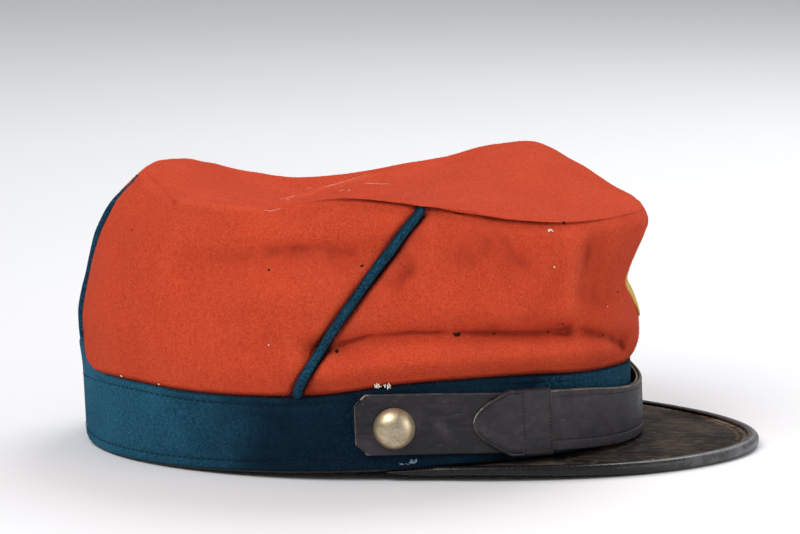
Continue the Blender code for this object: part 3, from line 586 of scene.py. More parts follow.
def visor_edge(place):
    """Top of the visor's outer edge at a place from -1, on the right, to 1."""
    form, _, leather, _, _ = kepi()
    start = form.band_length / 2 * math.cos(leather.visor_half_angle)
    reach = form.band_length / 2 + leather.visor_reach - start
    half_width = form.band_width / 2 * math.sin(leather.visor_half_angle) + leather.visor_end_width
    turned = np.asarray(place) * math.pi / 2
    forward = np.maximum(np.cos(turned), 0) ** (2 / leather.visor_point)
    side = np.sign(turned) * np.abs(np.sin(turned)) ** (2 / leather.visor_point)
    drop = leather.visor_drop * along(VISOR_LEVELS, np.abs(place))
    return point(start + reach * forward, half_width * side, -drop)


def visor_root(place):
    form, _, leather, _, _ = kepi()
    angle = np.asarray(place) * leather.visor_half_angle
    return band_point(angle, -leather.visor_tuck, rim_bottom(angle) - form.gap)


def visor_out(place):
    """Level direction out of the visor's outer edge."""
    step = 0.01
    run = visor_edge(np.minimum(place + step, 1)) - visor_edge(np.maximum(place - step, -1))
    return unit(point(run[..., 1], -run[..., 0], 0))


def visor_run(count):
    """The visor's root, outer edge, direction out and thickness share, from end to end.

    At each end a thin tail runs back under the band's rim.
    """
    form, _, leather, _, _ = kepi()
    places = np.sin(np.linspace(-math.pi / 2, math.pi / 2, count))
    root, edge, out = visor_root(places), visor_edge(places), visor_out(places)
    # The edge is thinner towards the ends, where the leather is skived
    thin = 1 - 0.30 * smooth_step(np.abs(places), 0.45, 1)
    reach = np.linspace(1, 0, 12, endpoint=False)
    for side in (-1, 1):
        angles = side * (leather.visor_half_angle + leather.visor_tail * reach)
        under = rim_bottom(angles) - form.gap
        tail_out = band_out(angles)
        stand = leather.visor_end_width - (leather.visor_end_width + 1.0 * MM) * reach
        tail_edge, tail_root = band_point(angles, stand, under), band_point(angles, stand - 3 * MM, under)
        tail_thin = 0.08 + 0.62 * (1 - reach) ** 0.8
        pairs = [(root, tail_root), (edge, tail_edge), (out, tail_out), (thin, tail_thin)]
        root, edge, out, thin = (
            np.concatenate((tail, main) if side < 0 else (main, tail[::-1])) for main, tail in pairs
        )
    return root, edge, out, thin


def strap_level(angle):
    return kepi()[0].band_height * one_side(STRAP_LEVELS, angle)


def strap_stand(angle, side):
    """How far a side's strip stands off the band, at an angle on its button's side.

    At the front the left strip lies over the right one.
    """
    form, _, leather, trim, _ = kepi()
    stand_front = leather.strap_stand + (leather.strap_leather + form.gap if side > 0 else 0)
    start = -trim.button_angle + leather.strap_seat
    lifted = smooth_step(-angle, start, -leather.loop_front - leather.strap_lift)
    return form.gap + (stand_front - form.gap) * lifted


def per_angle(angle):
    """Length of the band's outline for each radian at an angle."""
    form = kepi()[0]
    return math.hypot(form.band_length / 2 * math.sin(angle), form.band_width / 2 * math.cos(angle))


def loop_back():
    leather = kepi()[2]
    return leather.loop_front + leather.loop_length / per_angle(leather.loop_front)


def tab_shape(run):
    """The pointed tab at distances from its loop: angles, half widths and how far it has risen."""
    form, _, leather, _, _ = kepi()
    to_tip = np.maximum(leather.tab_length - run, 0)
    full = leather.strap_width / 2 + form.gap + leather.loop_leather
    halves = full * np.clip(np.maximum(to_tip, 0.02 * MM) / leather.tab_taper, 0, 1) ** TAB_ROUNDNESS
    rise = TAB_RISE * np.clip(to_tip / leather.tab_length, 0, 1)
    return loop_back() + run / per_angle(leather.loop_front), halves, rise


def lean_angle():
    """How far the cap leans back when it rests on its visor and on the back of its rim."""
    form, _, leather, _, _ = kepi()
    tip = visor_edge(0.0)
    lowest = tip[2] - leather.visor_leather - form.gap - leather.binding_leather
    heel_angle = math.radians(130)
    heel = band_point(heel_angle, 0.0, rim_bottom(heel_angle))
    return math.atan2(heel[2] - lowest, tip[0] - heel[0])


def cap_matrix():
    """From the cap's level frame to the model's: the lean, then the place of the packed band."""
    form = kepi()[0]
    lean = Matrix.Rotation(-lean_angle(), 4, "Y")
    angles = full_turn(64)
    low, high = rim_bottom(angles) + form.sweat_leather + form.gap, band_top(angles)
    ring = [band_point(angles, -inwards, edge) for inwards in (0, form.band_cloth) for edge in (low, high)]
    turned = np.concatenate(ring) @ np.array(lean.to_3x3()).T
    packed = np.array(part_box("band"))
    shift = ((packed[0] - turned.min(0)) + (packed[1] - turned.max(0))) / 2
    shift[2] = packed[0][2] - turned.min(0)[2]
    return Matrix.Translation(shift) @ lean


def lay_down(points):
    """Points of the cap's level frame in the frame of the model."""
    matrix = np.array(cap_matrix())
    return points @ matrix[:3, :3].T + matrix[:3, 3]


def swell(points, size, seed):
    """Smooth random heights between -1 and 1, with lumps of a given size in mm."""
    table = np.random.default_rng(seed).uniform(-1, 1, (24, 24, 24))
    place = points / (size * MM)
    cell = np.floor(place).astype(int)
    t = place - cell
    t = t * t * (3 - 2 * t)
    total = np.zeros(points.shape[:-1])
    for corner in itertools.product((0, 1), repeat=3):
        near = np.prod(np.where(corner, t, 1 - t), axis=-1)
        index = (cell + corner) % 24
        total += near * table[index[..., 0], index[..., 1], index[..., 2]]
    return total


def distance_to_line(points, line):
    """Shortest distance from points to a line through given points."""
    best = np.full(points.shape[:-1], 1.0)
    for start, end in zip(line[:-1], line[1:]):
        run = end - start
        reach = np.clip((points - start) @ run / max(run @ run, 1e-15), 0, 1)[..., None]
        best = np.minimum(best, np.linalg.norm(points - start - run * reach, axis=-1))
    return best


def grid_normals(grid):
    """Directions out of a grid of points whose columns run round."""
    around = np.roll(grid, -1, 1) - np.roll(grid, 1, 1)
    upwards = np.gradient(grid, axis=0)
    return unit(np.cross(around, upwards))


# Builders


def link(thing):
    bpy.context.scene.collection.objects.link(thing)


def finish_piece(name, mesh, material, slot, *nodes):
    """Links a finished mesh as a piece that rides on the cap, and hides the solids that it stands for."""
    piece = bpy.data.objects.new(name, mesh)
    mesh.materials.clear()
    mesh.materials.append(material)
    mesh.shade_smooth()
    link(piece)
    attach(piece, "root")
    if nodes:
        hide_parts(*nodes)
    return piece


def grid_mesh(name, grid, ends="loop", values=None):
    """A closed mesh from rows of points that run round.

    Ends says how the first and last rows close: to each other in a loop, each to a point at its
    middle, or each with a flat cap. Values are point attributes given on the same grid.
    """
    rows, columns = grid.shape[:2]
    points = grid.reshape(-1, 3)
    index = np.arange(rows * columns).reshape(rows, columns)
    after = np.roll(index, -1, 1)
    quads = np.stack((index, after, np.roll(after, -1, 0), np.roll(index, -1, 0)), -1)
    faces = (quads if ends == "loop" else quads[:-1]).reshape(-1, 4).tolist()
    values = {key: np.asarray(value, float).reshape(rows, columns) for key, value in (values or {}).items()}
    extra = {key: [] for key in values}
    if ends == "poles":
        start, end = len(points), len(points) + 1
        points = np.concatenate((points, grid[:1].mean(1), grid[-1:].mean(1)))
        faces += [(start, b, a) for a, b in zip(index[0].tolist(), after[0].tolist())]
        faces += [(end, a, b) for a, b in zip(index[-1].tolist(), after[-1].tolist())]
        extra = {key: [value[0].mean(), value[-1].mean()] for key, value in values.items()}
    elif ends == "caps":
        faces.append(index[0][::-1].tolist())
        faces.append(index[-1].tolist())
    volume = 0.0
    for k in (1, 2):
        corners = np.array([points[[face[0], *face[k : k + 2]]] for face in faces if len(face) > k + 1])
        volume += np.einsum("ij,ij->i", corners[:, 0], np.cross(corners[:, 1], corners[:, 2])).sum()
    if volume < 0:
        faces = [tuple(reversed(face)) for face in faces]
    mesh = bpy.data.meshes.new(name)
    mesh.from_pydata(points.tolist(), [], faces)
    for key, value in values.items():
        layer = mesh.attributes.new(key, "FLOAT", "POINT")
        layer.data.foreach_set("value", np.concatenate((value.ravel(), extra[key])))
    mesh.update()
    return mesh


def lay_piece(name, grid, ends, material, nodes, **values):
    """Lays a grid of the cap's level frame down as a finished piece in place of solids."""
    mesh = grid_mesh(name, lay_down(grid), ends, values)
    finish_piece(name, mesh, material, nodes[0], *nodes)


def joined(name, meshes):
    """One mesh from several."""
    points, faces, start = [], [], 0
    for mesh in meshes:
        points += [tuple(vertex.co) for vertex in mesh.vertices]
        faces += [tuple(start + i for i in face.vertices) for face in mesh.polygons]
        start = len(points)
        bpy.data.meshes.remove(mesh)
    mesh = bpy.data.meshes.new(name)
    mesh.from_pydata(points, [], faces)
    return mesh


def tube(name, line, radius, sides, hints, values=None):
    """A round roll along a line of points, with closed ends. Its sides count from across the hints."""
    run = unit(np.gradient(line, axis=0))
    across = unit(np.cross(run, hints))
    over = np.cross(across, run)
    radius = np.broadcast_to(radius, (len(line),))[:, None, None]
    turns = full_turn(sides)[None, :, None]
    ring = across[:, None] * np.cos(turns) + over[:, None] * np.sin(turns)
    return grid_mesh(name, line[:, None] + ring * radius, "poles", values)


def camera_axes():
    """The camera's place and its directions forward, right and up."""
    stage = kepi()[4]
    place = np.array(stage.camera_place)
    forward = unit(np.array(stage.camera_aim) - place)
    right = unit(np.cross(forward, (0, 0, 1)))
    return place, forward, right, np.cross(right, forward)


def sight_line(pixel):
    """Where the camera stands and looks for a pixel, in the cap's level frame."""
    stage = kepi()[4]
    place, forward, right, up = camera_axes()
    focal = stage.camera_lens / SENSOR_WIDTH * stage.frame_width
    across = (pixel[0] - stage.frame_width / 2) / focal
    rise = (stage.frame_height / 2 - pixel[1]) / focal
    back = cap_matrix().inverted()
    ray = forward + right * across + up * rise
    return back @ Vector(place), (back.to_3x3() @ Vector(ray)).normalized()


def surface_tree(grid):
    """A tree for casting sight lines on a grid of points whose columns run round."""
    rows, columns = grid.shape[:2]
    index = np.arange(rows * columns).reshape(rows, columns)
    after = np.roll(index, -1, 1)
    faces = np.stack((index[:-1], after[:-1], after[1:], index[1:]), -1).reshape(-1, 4)
    return BVHTree.FromPolygons(grid.reshape(-1, 3).tolist(), faces.tolist())


def points_under(tree, pixels):
    """Points of a surface under pixels of the photograph."""
    hits = [tree.ray_cast(*sight_line(pixel))[0] for pixel in pixels]
    if None in hits:
        raise RuntimeError("nothing lies under a pixel of %s" % (pixels,))
    return np.array([tuple(hit) for hit in hits])


def band_line(pixels):
    """Points of the band's outer face under pixels of the photograph."""
    angles = full_turn(240)
    low, high = rim_bottom(angles), band_top(angles)
    rows = [band_point(angles, 0.0, low + (high - low) * part) for part in np.linspace(-0.15, 1.15, 10)]
    return points_under(surface_tree(np.array(rows)), pixels)


# Materials


class Wire:
    """A socket of a node tree whose arithmetic adds nodes."""

    def __init__(self, tree, socket=None):
        self.tree, self.socket = tree, socket

    def node(self, kind, settings=None, inputs=None, output=0):
        """Adds a node: its settings first, then its inputs, and gives one of its outputs."""
        made = self.tree.nodes.new(kind)
        for key, value in (settings or {}).items():
            if key == "stops":
                ramp = made.color_ramp
                while len(ramp.elements) < len(value):
                    ramp.elements.new(0.5)
                for element, (place, shade) in zip(ramp.elements, value):
                    element.position, element.color = place, (*shade, 1)
            else:
                setattr(made, key, value)
        for key, value in (inputs or {}).items():
            if isinstance(value, Wire):
                self.tree.links.new(value.socket, made.inputs[key])
            else:
                made.inputs[key].default_value = value
        return Wire(self.tree, made.outputs[output] if made.outputs else None)

    def maths(self, operation, *values):
        return self.node("ShaderNodeMath", {"operation": operation}, dict(enumerate(values)))

    def __add__(self, other):
        return self.maths("ADD", self, other)

    def __sub__(self, other):
        return self.maths("SUBTRACT", self, other)

    def __rsub__(self, other):
        return self.maths("SUBTRACT", other, self)

    def __mul__(self, other):
        return self.maths("MULTIPLY", self, other)

    __radd__, __rmul__ = __add__, __mul__

    def between(self, start, end, low=0.0, high=1.0):
        """This value's way from start to end, clipped, with soft ends."""
        settings = {"interpolation_type": "SMOOTHSTEP"}
        inputs = {"Value": self, "From Min": start, "From Max": end, "To Min": low, "To Max": high}
        return self.node("ShaderNodeMapRange", settings, inputs)

    def blend(self, first, second):
        """A mix of two colours by this value."""
        settings = {"data_type": "RGBA", "clamp_factor": True}
        first, second = (value if isinstance(value, Wire) else (*value[:3], 1) for value in (first, second))
        return self.node("ShaderNodeMix", settings, {0: self, 6: first, 7: second}, 2)


def noise(start, spot, scale, detail=2.0, rough=0.5, distortion=0.0):
    """Soft noise between 0 and 1 at a scale in lumps to the metre."""
    inputs = {"Vector": spot, "Scale": scale, "Detail": detail, "Roughness": rough, "Distortion": distortion}
    return start.node("ShaderNodeTexNoise", None, inputs)


def attribute(start, name):
    return start.node("ShaderNodeAttribute", {"attribute_name": name}, None, "Fac")


def stretched(start, spot, scales):
    return start.node("ShaderNodeVectorMath", {"operation": "MULTIPLY"}, {0: spot, 1: scales}, 0)


def bump(start, strength, distance, height):
    return start.node("ShaderNodeBump", None, {"Strength": strength, "Distance": distance, "Height": height})


def made_once(build):
    """The material of a name if it is there already, or else the one that a function builds."""

    def made(name, *values, **named):
        return bpy.data.materials.get(name) or build(name, *values, **named)

    return made


def start_material(name):
    """A new material, its starting wire, its shader and the object coordinates."""
    material = bpy.data.materials.get(name) or bpy.data.materials.new(name)
    material.use_nodes = True
    tree = material.node_tree
    start = Wire(tree)
    spot = start.node("ShaderNodeTexCoord", output="Object")
    return material, start, tree.nodes["Principled BSDF"], spot


def settle(shader, **values):
    """Sets or links sockets of the shader by their names, with underscores for spaces."""
    for key, value in values.items():
        socket = shader.inputs[key.replace("_", " ")]
        if isinstance(value, Wire):
            value.tree.links.new(value.socket, socket)
        else:
            socket.default_value = value


def shade(tone, factor):
    return tuple(min(channel * factor, 1) for channel in tone)


@made_once
def felt(name, tone, deep, pale, streaks, speckle):
    """Milled wool: clouds, speckle and upright streaks of fibre, darker with soil and painted shade, paler
    with wear and painted highlights.

    The piece carries one attribute for the darkening and one for the paling.
    """
    material, start, shader, spot = start_material(name)
    upright = stretched(start, spot, (1.0, 1.0, 0.2))
    cloud = noise(start, spot, 30, 3.0)
    patch = noise(start, spot, 130, 4.0, 0.6)
    streak = noise(start, upright, 950, 2.0, 0.6)
    dot = noise(start, spot, 1250, 3.0, 0.62)
    fibre = noise(start, spot, 2800, 2.0, 0.7, 1.0)
    dirt, wear = attribute(start, "dirt"), attribute(start, "wear")
    tint = cloud.between(0.3, 0.7).blend(shade(tone, 0.94), shade(tone, 1.06))
    tint = (patch.between(0.38, 0.70) * 0.30).blend(tint, shade(tone, 0.86))
    tint = (dot.between(0.50, 0.68) * speckle).blend(tint, pale)
    tint = (dot.between(0.48, 0.34) * speckle).blend(tint, deep)
    tint = (streak.between(0.52, 0.70) * streaks).blend(tint, pale)
    tint = (streak.between(0.46, 0.30) * streaks).blend(tint, deep)
    tint = (fibre.between(0.52, 0.68) * 0.34).blend(tint, pale)
    # Soil and painted shade darken the cloth, in ragged patches where they are stronger; at their strongest,
    # in the crevices, the cloth goes near black as painted shade
    ragged = dirt * 1.3 + (dot * 0.9 + patch * 0.6) - 1.05
    tint = (dirt * 0.30).blend(tint, deep)
    tint = (ragged.between(0.0, 0.5) * 0.80).blend(tint, shade(deep, 0.75))
    tint = (dirt.between(0.82, 1.0) * 0.9).blend(tint, PAINTED_CREVICE_SHADE)
    tint = (wear * (0.30 + fibre.between(0.42, 0.62) * 0.9)).blend(tint, shade(pale, 1.25))
    height = fibre * 0.5 + dot * 0.8 + streak * 0.4
    settle(shader, Base_Color=tint, Roughness=0.95, Normal=bump(start, 0.8, 0.0006, height))
    settle(shader, Sheen_Weight=0.05, Sheen_Roughness=0.5, Specular_IOR_Level=0.07)
    shader.inputs["Sheen Tint"].default_value = (*shade(pale, 1.3), 1)
    return material


@made_once
def plain_fibre(name, tone, roughness=0.85):
    """Thread, loose hairs and lint."""
    material, start, shader, spot = start_material(name)
    strand = noise(start, spot, 1400, 2.0)
    tint = strand.between(0.35, 0.65).blend(shade(tone, 0.7), shade(tone, 1.25))
    settle(shader, Base_Color=tint, Roughness=roughness, Specular_IOR_Level=0.25)
    return material


@made_once
def leather_black(name, tone, worn, raw, gloss, crackle, scuffs, shine, lie=(0.18, 0.18, 1.0)):
    """Black leather: pebbled grain, fine cracks, scuffs, and attributes for cut edges and for rubbed places,
    which on some pieces also carry painted highlights and reflections.
    """
    material, start, shader, spot = start_material(name)
    grain = noise(start, spot, 1300, 3.0, 0.6)
    mottle = noise(start, spot, 60, 4.0, 0.6)
    blot = noise(start, spot, 220, 4.0, 0.65, 0.8)
    cells = {"Vector": spot, "Scale": 700, "Randomness": 1.0}
    cracks = start.node("ShaderNodeTexVoronoi", {"feature": "DISTANCE_TO_EDGE"}, cells)
    crack = cracks.between(0.0, 0.09, 1.0, 0.0)
    drawn = stretched(start, spot, lie)
    scratch = noise(start, drawn, 1100, 2.0, 0.5, 0.4).between(0.66, 0.74)
    edge, rub = attribute(start, "edge"), attribute(start, "rub")
    tint = mottle.between(0.35, 0.68).blend(shade(tone, 0.75), shade(tone, 1.35))
    tint = (blot.between(0.52, 0.70) * 0.55 * scuffs).blend(tint, worn)
    tint = (scratch * blot.between(0.40, 0.60) * 0.6 * scuffs).blend(tint, shade(worn, 1.6))
    streak = noise(start, drawn, 420, 3.0, 0.6)
    tint = (streak.between(0.50, 0.66) * 0.28 * scuffs).blend(tint, worn)
    # Rubbed places go to the worn tone, and so do painted highlights and reflections
    tint = (rub * (0.45 + blot.between(0.35, 0.6) * 0.55)).blend(tint, worn)
    tint = (edge * blot.between(0.36, 0.60)).blend(tint, raw)
    tint = (edge * rub * blot.between(0.34, 0.52)).blend(tint, CREAM)
    rough = gloss + mottle.between(0.3, 0.7) * 0.14 + blot.between(0.5, 0.7) * 0.16 + edge * 0.3 + rub * 0.2
    height = grain * 0.35 - crack * 0.5 * crackle - scratch * 0.4
    normal = bump(start, 0.35, 0.00025, height)
    settle(shader, Base_Color=tint, Roughness=rough, Normal=normal, Specular_IOR_Level=shine)
    return material


@made_once
def dull_brass(name, tone):
    """Brass gone dull, with grey tarnish in its middle and brown at its rim, where tarnish and painted shade
    meet.
    """
    material, start, shader, spot = start_material(name)
    stain = noise(start, spot, 260, 5.0, 0.65, 0.6)
    fine = noise(start, spot, 1500, 3.0, 0.6)
    rim, middle = attribute(start, "edge"), attribute(start, "rub")
    tint = stain.between(0.35, 0.65).blend(shade(tone, 0.72), shade(tone, 1.12))
    tint = (middle * stain.between(0.38, 0.62) * 0.8).blend(tint, TARNISH_GREY)
    # Brown at the rim: tarnish, and painted shade on the side away from the light
    tint = (rim * (0.5 + stain * 0.6)).blend(tint, TARNISH_AND_SHADE_BROWN)
    tint = (fine.between(0.57, 0.67) * (middle * 0.5 + 0.22)).blend(tint, TARNISH_SPECK)
    rough = 0.30 + stain * 0.22 + rim * 0.2
    metal = 1 - rim * 0.45 - middle * stain.between(0.45, 0.65) * 0.3
    normal = bump(start, 0.25, 0.0002, stain * 0.8 + fine * 0.4)
    settle(shader, Base_Color=tint, Roughness=rough, Metallic=metal, Normal=normal)
    return material


def dyed_felt(dye):
    name, deep, pale, streaks, speckle = FELTS[dye]
    return felt(name, tuple(getattr(kepi()[1], dye)), deep, pale, streaks, speckle)


def strap_leather():
    leather = kepi()[2]
    tones = tuple(leather.black), (0.088, 0.078, 0.088), tuple(leather.raw)
    return leather_black("leather_strap", *tones, gloss=0.38, crackle=1.2, scuffs=0.40, shine=0.28)


def visor_leather():
    tones = (0.0065, 0.005, 0.0042), tuple(kepi()[2].worn), (0.20, 0.12, 0.07)
    lie = (0.30, 1.0, 1.0)
    return leather_black("leather_visor", *tones, gloss=0.55, crackle=1.4, scuffs=1.3, shine=0.035, lie=lie)


def binding_leather():
    # Its second tone, laid on where the face is turned to the front right, is a painted reflection
    tones = (0.0065, 0.0055, 0.0056), (0.16, 0.156, 0.162), tuple(kepi()[2].raw)
    return leather_black("leather_binding", *tones, gloss=0.17, crackle=0.5, scuffs=0.05, shine=0.30)


# Crown


def crown_grid(columns, wall_rows, rings):
    """The crown's outer face before its marks: rows from the hem to the middle of the top.

    Gives the rows, how full the lip is at each column, and each row's height share.
    """
    form = kepi()[0]
    angles = full_turn(columns)
    lip = both_sides(LIPS, angles)
    full, bare = lip[:, None], 1 - lip[:, None]
    edge, crest = top_point(1.0, angles), wall_point(angles, 1.0)
    out = level_out(angles, form.top_length, form.top_width)
    rows, heights = [], []
    for inwards, rise in HEM_SECTION:
        rows.append(band_point(angles, -form.crown_inset - inwards * MM, band_top(angles) + rise * MM))
        heights.append(0.0)
    for height in np.linspace(0, 1, wall_rows)[1:]:
        lift = smooth_step(height, 0.8, 1.0) * bare
        rows.append(wall_point(angles, height) + lift * (edge + out * 0.15 * MM - UP * 0.55 * MM - crest))
        heights.append(height)
    # The lip bulges where it runs over the side seams' piping
    cover = (1.7 * MM * bell(np.abs(wrapped(angles)) - side_seam(1.0), math.radians(2.4)) * lip)[:, None]
    for sharp_out, sharp_up, soft_out, soft_up in LIP_SECTION:
        outwards = (sharp_out * full + soft_out * bare) * MM + cover * smooth_step(sharp_out, -1.3, -0.2)
        rise = (sharp_up * full + soft_up * bare) * MM
        rows.append(edge + out * outwards + UP * rise)
        heights.append(1.0)
    for reach in 0.965 * (1 - np.linspace(0, 1, rings + 1)[:-1] ** 1.15):
        rows.append(top_point(reach, angles))
        heights.append(1.0)
    grid = np.array(rows)
    # The worn edge without a lip is rounder than the section gives
    top_row = len(HEM_SECTION) + wall_rows
    first, last = top_row - 8, top_row + len(LIP_SECTION) + 3
    for _ in range(10):
        middle = (grid[first - 1 : last - 1] + grid[first + 1 : last + 1]) / 2
        grid[first:last] += 0.8 * bare * (middle - grid[first:last])
    return grid, angles, np.array(heights)


def marked_crown(columns, wall_rows, rings):
    """The crown's outer face with its seams, marks and unevenness, and its dirt and wear."""
    cloth = kepi()[1]
    grid, angles, heights = crown_grid(columns, wall_rows, rings)
    tree = surface_tree(grid)
    normals = grid_normals(grid)
    on_wall = (heights < 1)[:, None]
    sink, dirt, wear = (np.zeros(grid.shape[:2]) for _ in range(3))
    for name in ("right", "left", "back"):
        shares = np.linspace(0, 1, 60)
        seam = wall_point(seam_angle(name, shares), shares)
        away = distance_to_line(grid, seam)
        ahead = wrapped(angles[None] - seam_angle(name, heights)[:, None])
        before = ahead * (1 if name == "right" else -1) > 0
        sink += cloth.seam_depth * bell(away, cloth.seam_breadth) * on_wall
        # Painted shade in the crevice beside the piping, darkest behind the roll, and a soft painted shadow
        # before it
        dirt += bell(away, 2.8 * MM, 6) * (0.72 + 0.4 * before) * on_wall
        dirt += 0.34 * bell(away, 6.5 * MM) * before * on_wall
    for mark in MARKS:
        hits = [tree.ray_cast(*sight_line(pixel))[0] for pixel in mark.points]
        line = [np.array(hit) for hit in hits if hit is not None]
        if len(line) < 2:
            raise RuntimeError("a mark misses the crown near pixel %s" % (mark.points[0],))
        near = bell(distance_to_line(grid, line), mark.breadth * MM)
        for end in (line[0], line[-1]):
            near *= 1 - 0.8 * bell(np.linalg.norm(grid - end, axis=-1), 1.8 * mark.breadth * MM)
        sink += mark.depth * MM * near
        dirt += mark.dirt * near
        wear += mark.wear * near
    # Painted shade under the lip and along the band's edge
    below_edge = bell(np.arange(len(grid)) - len(HEM_SECTION) - wall_rows - 0.6, 1.5)
    dirt += below_edge[:, None] * both_sides(LIPS, angles) * 1.1
    above_band = grid[..., 2] - band_top(angles)
    dirt += sum(painted_shade_and_soil * bell(above_band, reach * MM) for painted_shade_and_soil, reach in ((0.5, 0.7), (0.48, 1.6), (0.16, 6)))
    uneven = cloth.swell * swell(grid, 13, cloth.seed) + cloth.pucker * swell(grid, 4.5, cloth.seed + 1)
    uneven += 0.5 * cloth.swell * swell(grid * (1, 1, 0.35), 8, cloth.seed + 2)
    quiet = smooth_step(above_band, 0.8 * MM, 3.5 * MM)
    moved = grid + normals * ((uneven - sink) * quiet)[..., None]
    # Rubbed ridges paler, and painted shade in the hollows, from how each point stands against its neighbours
    for reach, strength in ((2, 2200), (5, 700)):
        around = (np.roll(moved, reach, 1) + np.roll(moved, -reach, 1)) / 2
        raised = np.einsum("ijk,ijk->ij", moved - around, normals)
        wear += np.clip(raised * strength * 0.12, 0, 0.25)
        dirt += np.clip(-raised * strength * 0.20, 0, 0.30)
    dirt += 0.10 * swell(grid, 24, cloth.seed + 3).clip(0, 1)
    wear += 0.12 * swell(grid, 17, cloth.seed + 4).clip(0, 1)
    return moved, np.clip(dirt, 0, 1), np.clip(wear, 0, 1)


def crown_shell():
    """Outer and inner faces of the crown as one closed grid, in the cap's level frame."""
    form = kepi()[0]
    outer, dirt, wear = marked_crown(CROWN_COLUMNS, CROWN_ROWS, CROWN_RINGS)
    smooth = outer.copy()
    for _ in range(12):
        smooth[1:-1] += 0.5 * ((smooth[:-2] + smooth[2:]) / 2 - smooth[1:-1])
        smooth += 0.5 * ((np.roll(smooth, 1, 1) + np.roll(smooth, -1, 1)) / 2 - smooth)
    wall_start = len(HEM_SECTION) + 1
    picks = list(range(wall_start, len(outer) - 1, 4)) + [len(outer) - 1]
    inner = (smooth - grid_normals(smooth) * form.crown_cloth)[picks][::-1]
    blank = np.zeros(inner.shape[:2])
    return (np.concatenate(pair) for pair in ((inner, outer), (blank + 0.45, dirt), (blank, wear)))


# Geometry Nodes trees


def new_tree(name, inputs):
    """A tree with named inputs, given as name and kind, with a wire for each of them."""
    tree = bpy.data.node_groups.new(name, "GeometryNodeTree")
    for label, kind in inputs:
        tree.interface.new_socket(label, in_out="INPUT", socket_type="NodeSocket" + kind)
    tree.interface.new_socket("Geometry", in_out="OUTPUT", socket_type="NodeSocketGeometry")
    given = tree.nodes.new("NodeGroupInput").outputs
    return tree, Wire(tree), [Wire(tree, given[i]) for i in range(len(inputs))]


def strewn_tree(tree, points, instance, rotation, size, material):
    """Ends a tree: one instance on each point, made real and given its material."""
    values = {"Points": points, "Instance": instance, "Rotation": rotation, "Scale": size}
    placed = points.node("GeometryNodeInstanceOnPoints", None, values)
    solid = points.node("GeometryNodeRealizeInstances", None, {"Geometry": placed})
    dyed = points.node("GeometryNodeSetMaterial", None, {"Geometry": solid, "Material": material})
    tree.links.new(dyed.socket, tree.nodes.new("NodeGroupOutput").inputs[0])
    return tree


def set_inputs(modifier, **values):
    """Sets a modifier's inputs by the identifiers of their named sockets."""
    for item in modifier.node_group.interface.items_tree:
        if item.in_out == "INPUT" and item.name.replace(" ", "_").lower() in values:
            modifier[item.identifier] = values[item.name.replace(" ", "_").lower()]


def stitch_tree():
    """Stitches set along a line at a pitch, each a short rounded run of thread."""
    name = "kepi_stitches"
    if name in bpy.data.node_groups:
        return bpy.data.node_groups[name]
    inputs = (("Geometry", "Geometry"), ("Pitch", "Float"), ("Stitch Length", "Float"))
    inputs += (("Thread Radius", "Float"), ("Thread", "Material"))
    tree, start, (line, pitch, run, radius, thread) = new_tree(name, inputs)
    curve = start.node("GeometryNodeMeshToCurve", None, {"Mesh": line})
    spaced = start.node("GeometryNodeResampleCurve", {"mode": "LENGTH"}, {"Curve": curve, "Length": pitch})
    bead = start.node("GeometryNodeMeshUVSphere", None, {"Segments": 6, "Rings": 4, "Radius": 1.0})
    tangent = start.node("GeometryNodeInputTangent")
    aligned = start.node("FunctionNodeAlignRotationToVector", {"axis": "Z"}, {"Vector": tangent})
    vary = start.node("FunctionNodeRandomValue", {"data_type": "FLOAT"}, {2: 0.85, 3: 1.12, "Seed": 3}, 1)
    size = start.node("ShaderNodeCombineXYZ", None, {0: radius, 1: radius, 2: run * 0.5 * vary})
    return strewn_tree(tree, spaced, bead, aligned, size, thread)


def nap_tree():
    """Loose hairs strewn over a surface, each a thin three-sided spike that lies nearly flat."""
    name = "kepi_nap"
    if name in bpy.data.node_groups:
        return bpy.data.node_groups[name]
    inputs = (("Geometry", "Geometry"), ("Density", "Float"), ("Hair Length", "Float"))
    inputs += (("Hair Breadth", "Float"), ("Seed", "Int"), ("Fibre", "Material"))
    tree, start, (face, density, run, breadth, seed, fibre) = new_tree(name, inputs)
    values = {"Mesh": face, "Density": density, "Seed": seed}
    points = start.node("GeometryNodeDistributePointsOnFaces", {"distribute_method": "RANDOM"}, values)
    upright = Wire(tree, points.socket.node.outputs["Rotation"])
    values = {"Vertices": 3, "Side Segments": 1, "Fill Segments": 1, "Radius Top": 0.0, "Radius Bottom": 1.0}
    spike = start.node("GeometryNodeMeshCone", None, {**values, "Depth": 1.0})
    values = {0: (math.radians(48), 0.0, 0.0), 1: (math.radians(86), 0.0, 2 * math.pi), "Seed": 11}
    lay = start.node("FunctionNodeRandomValue", {"data_type": "FLOAT_VECTOR"}, values)
    bent = start.node("FunctionNodeEulerToRotation", None, {0: lay})
    turned = start.node("FunctionNodeRotateRotation", {"rotation_space": "LOCAL"}, {0: upright, 1: bent})
    vary = start.node("FunctionNodeRandomValue", {"data_type": "FLOAT"}, {2: 0.4, 3: 1.5, "Seed": 12}, 1)
    size = start.node("ShaderNodeCombineXYZ", None, {0: breadth, 1: breadth, 2: run * vary})
    return strewn_tree(tree, points, spike, turned, size, fibre)


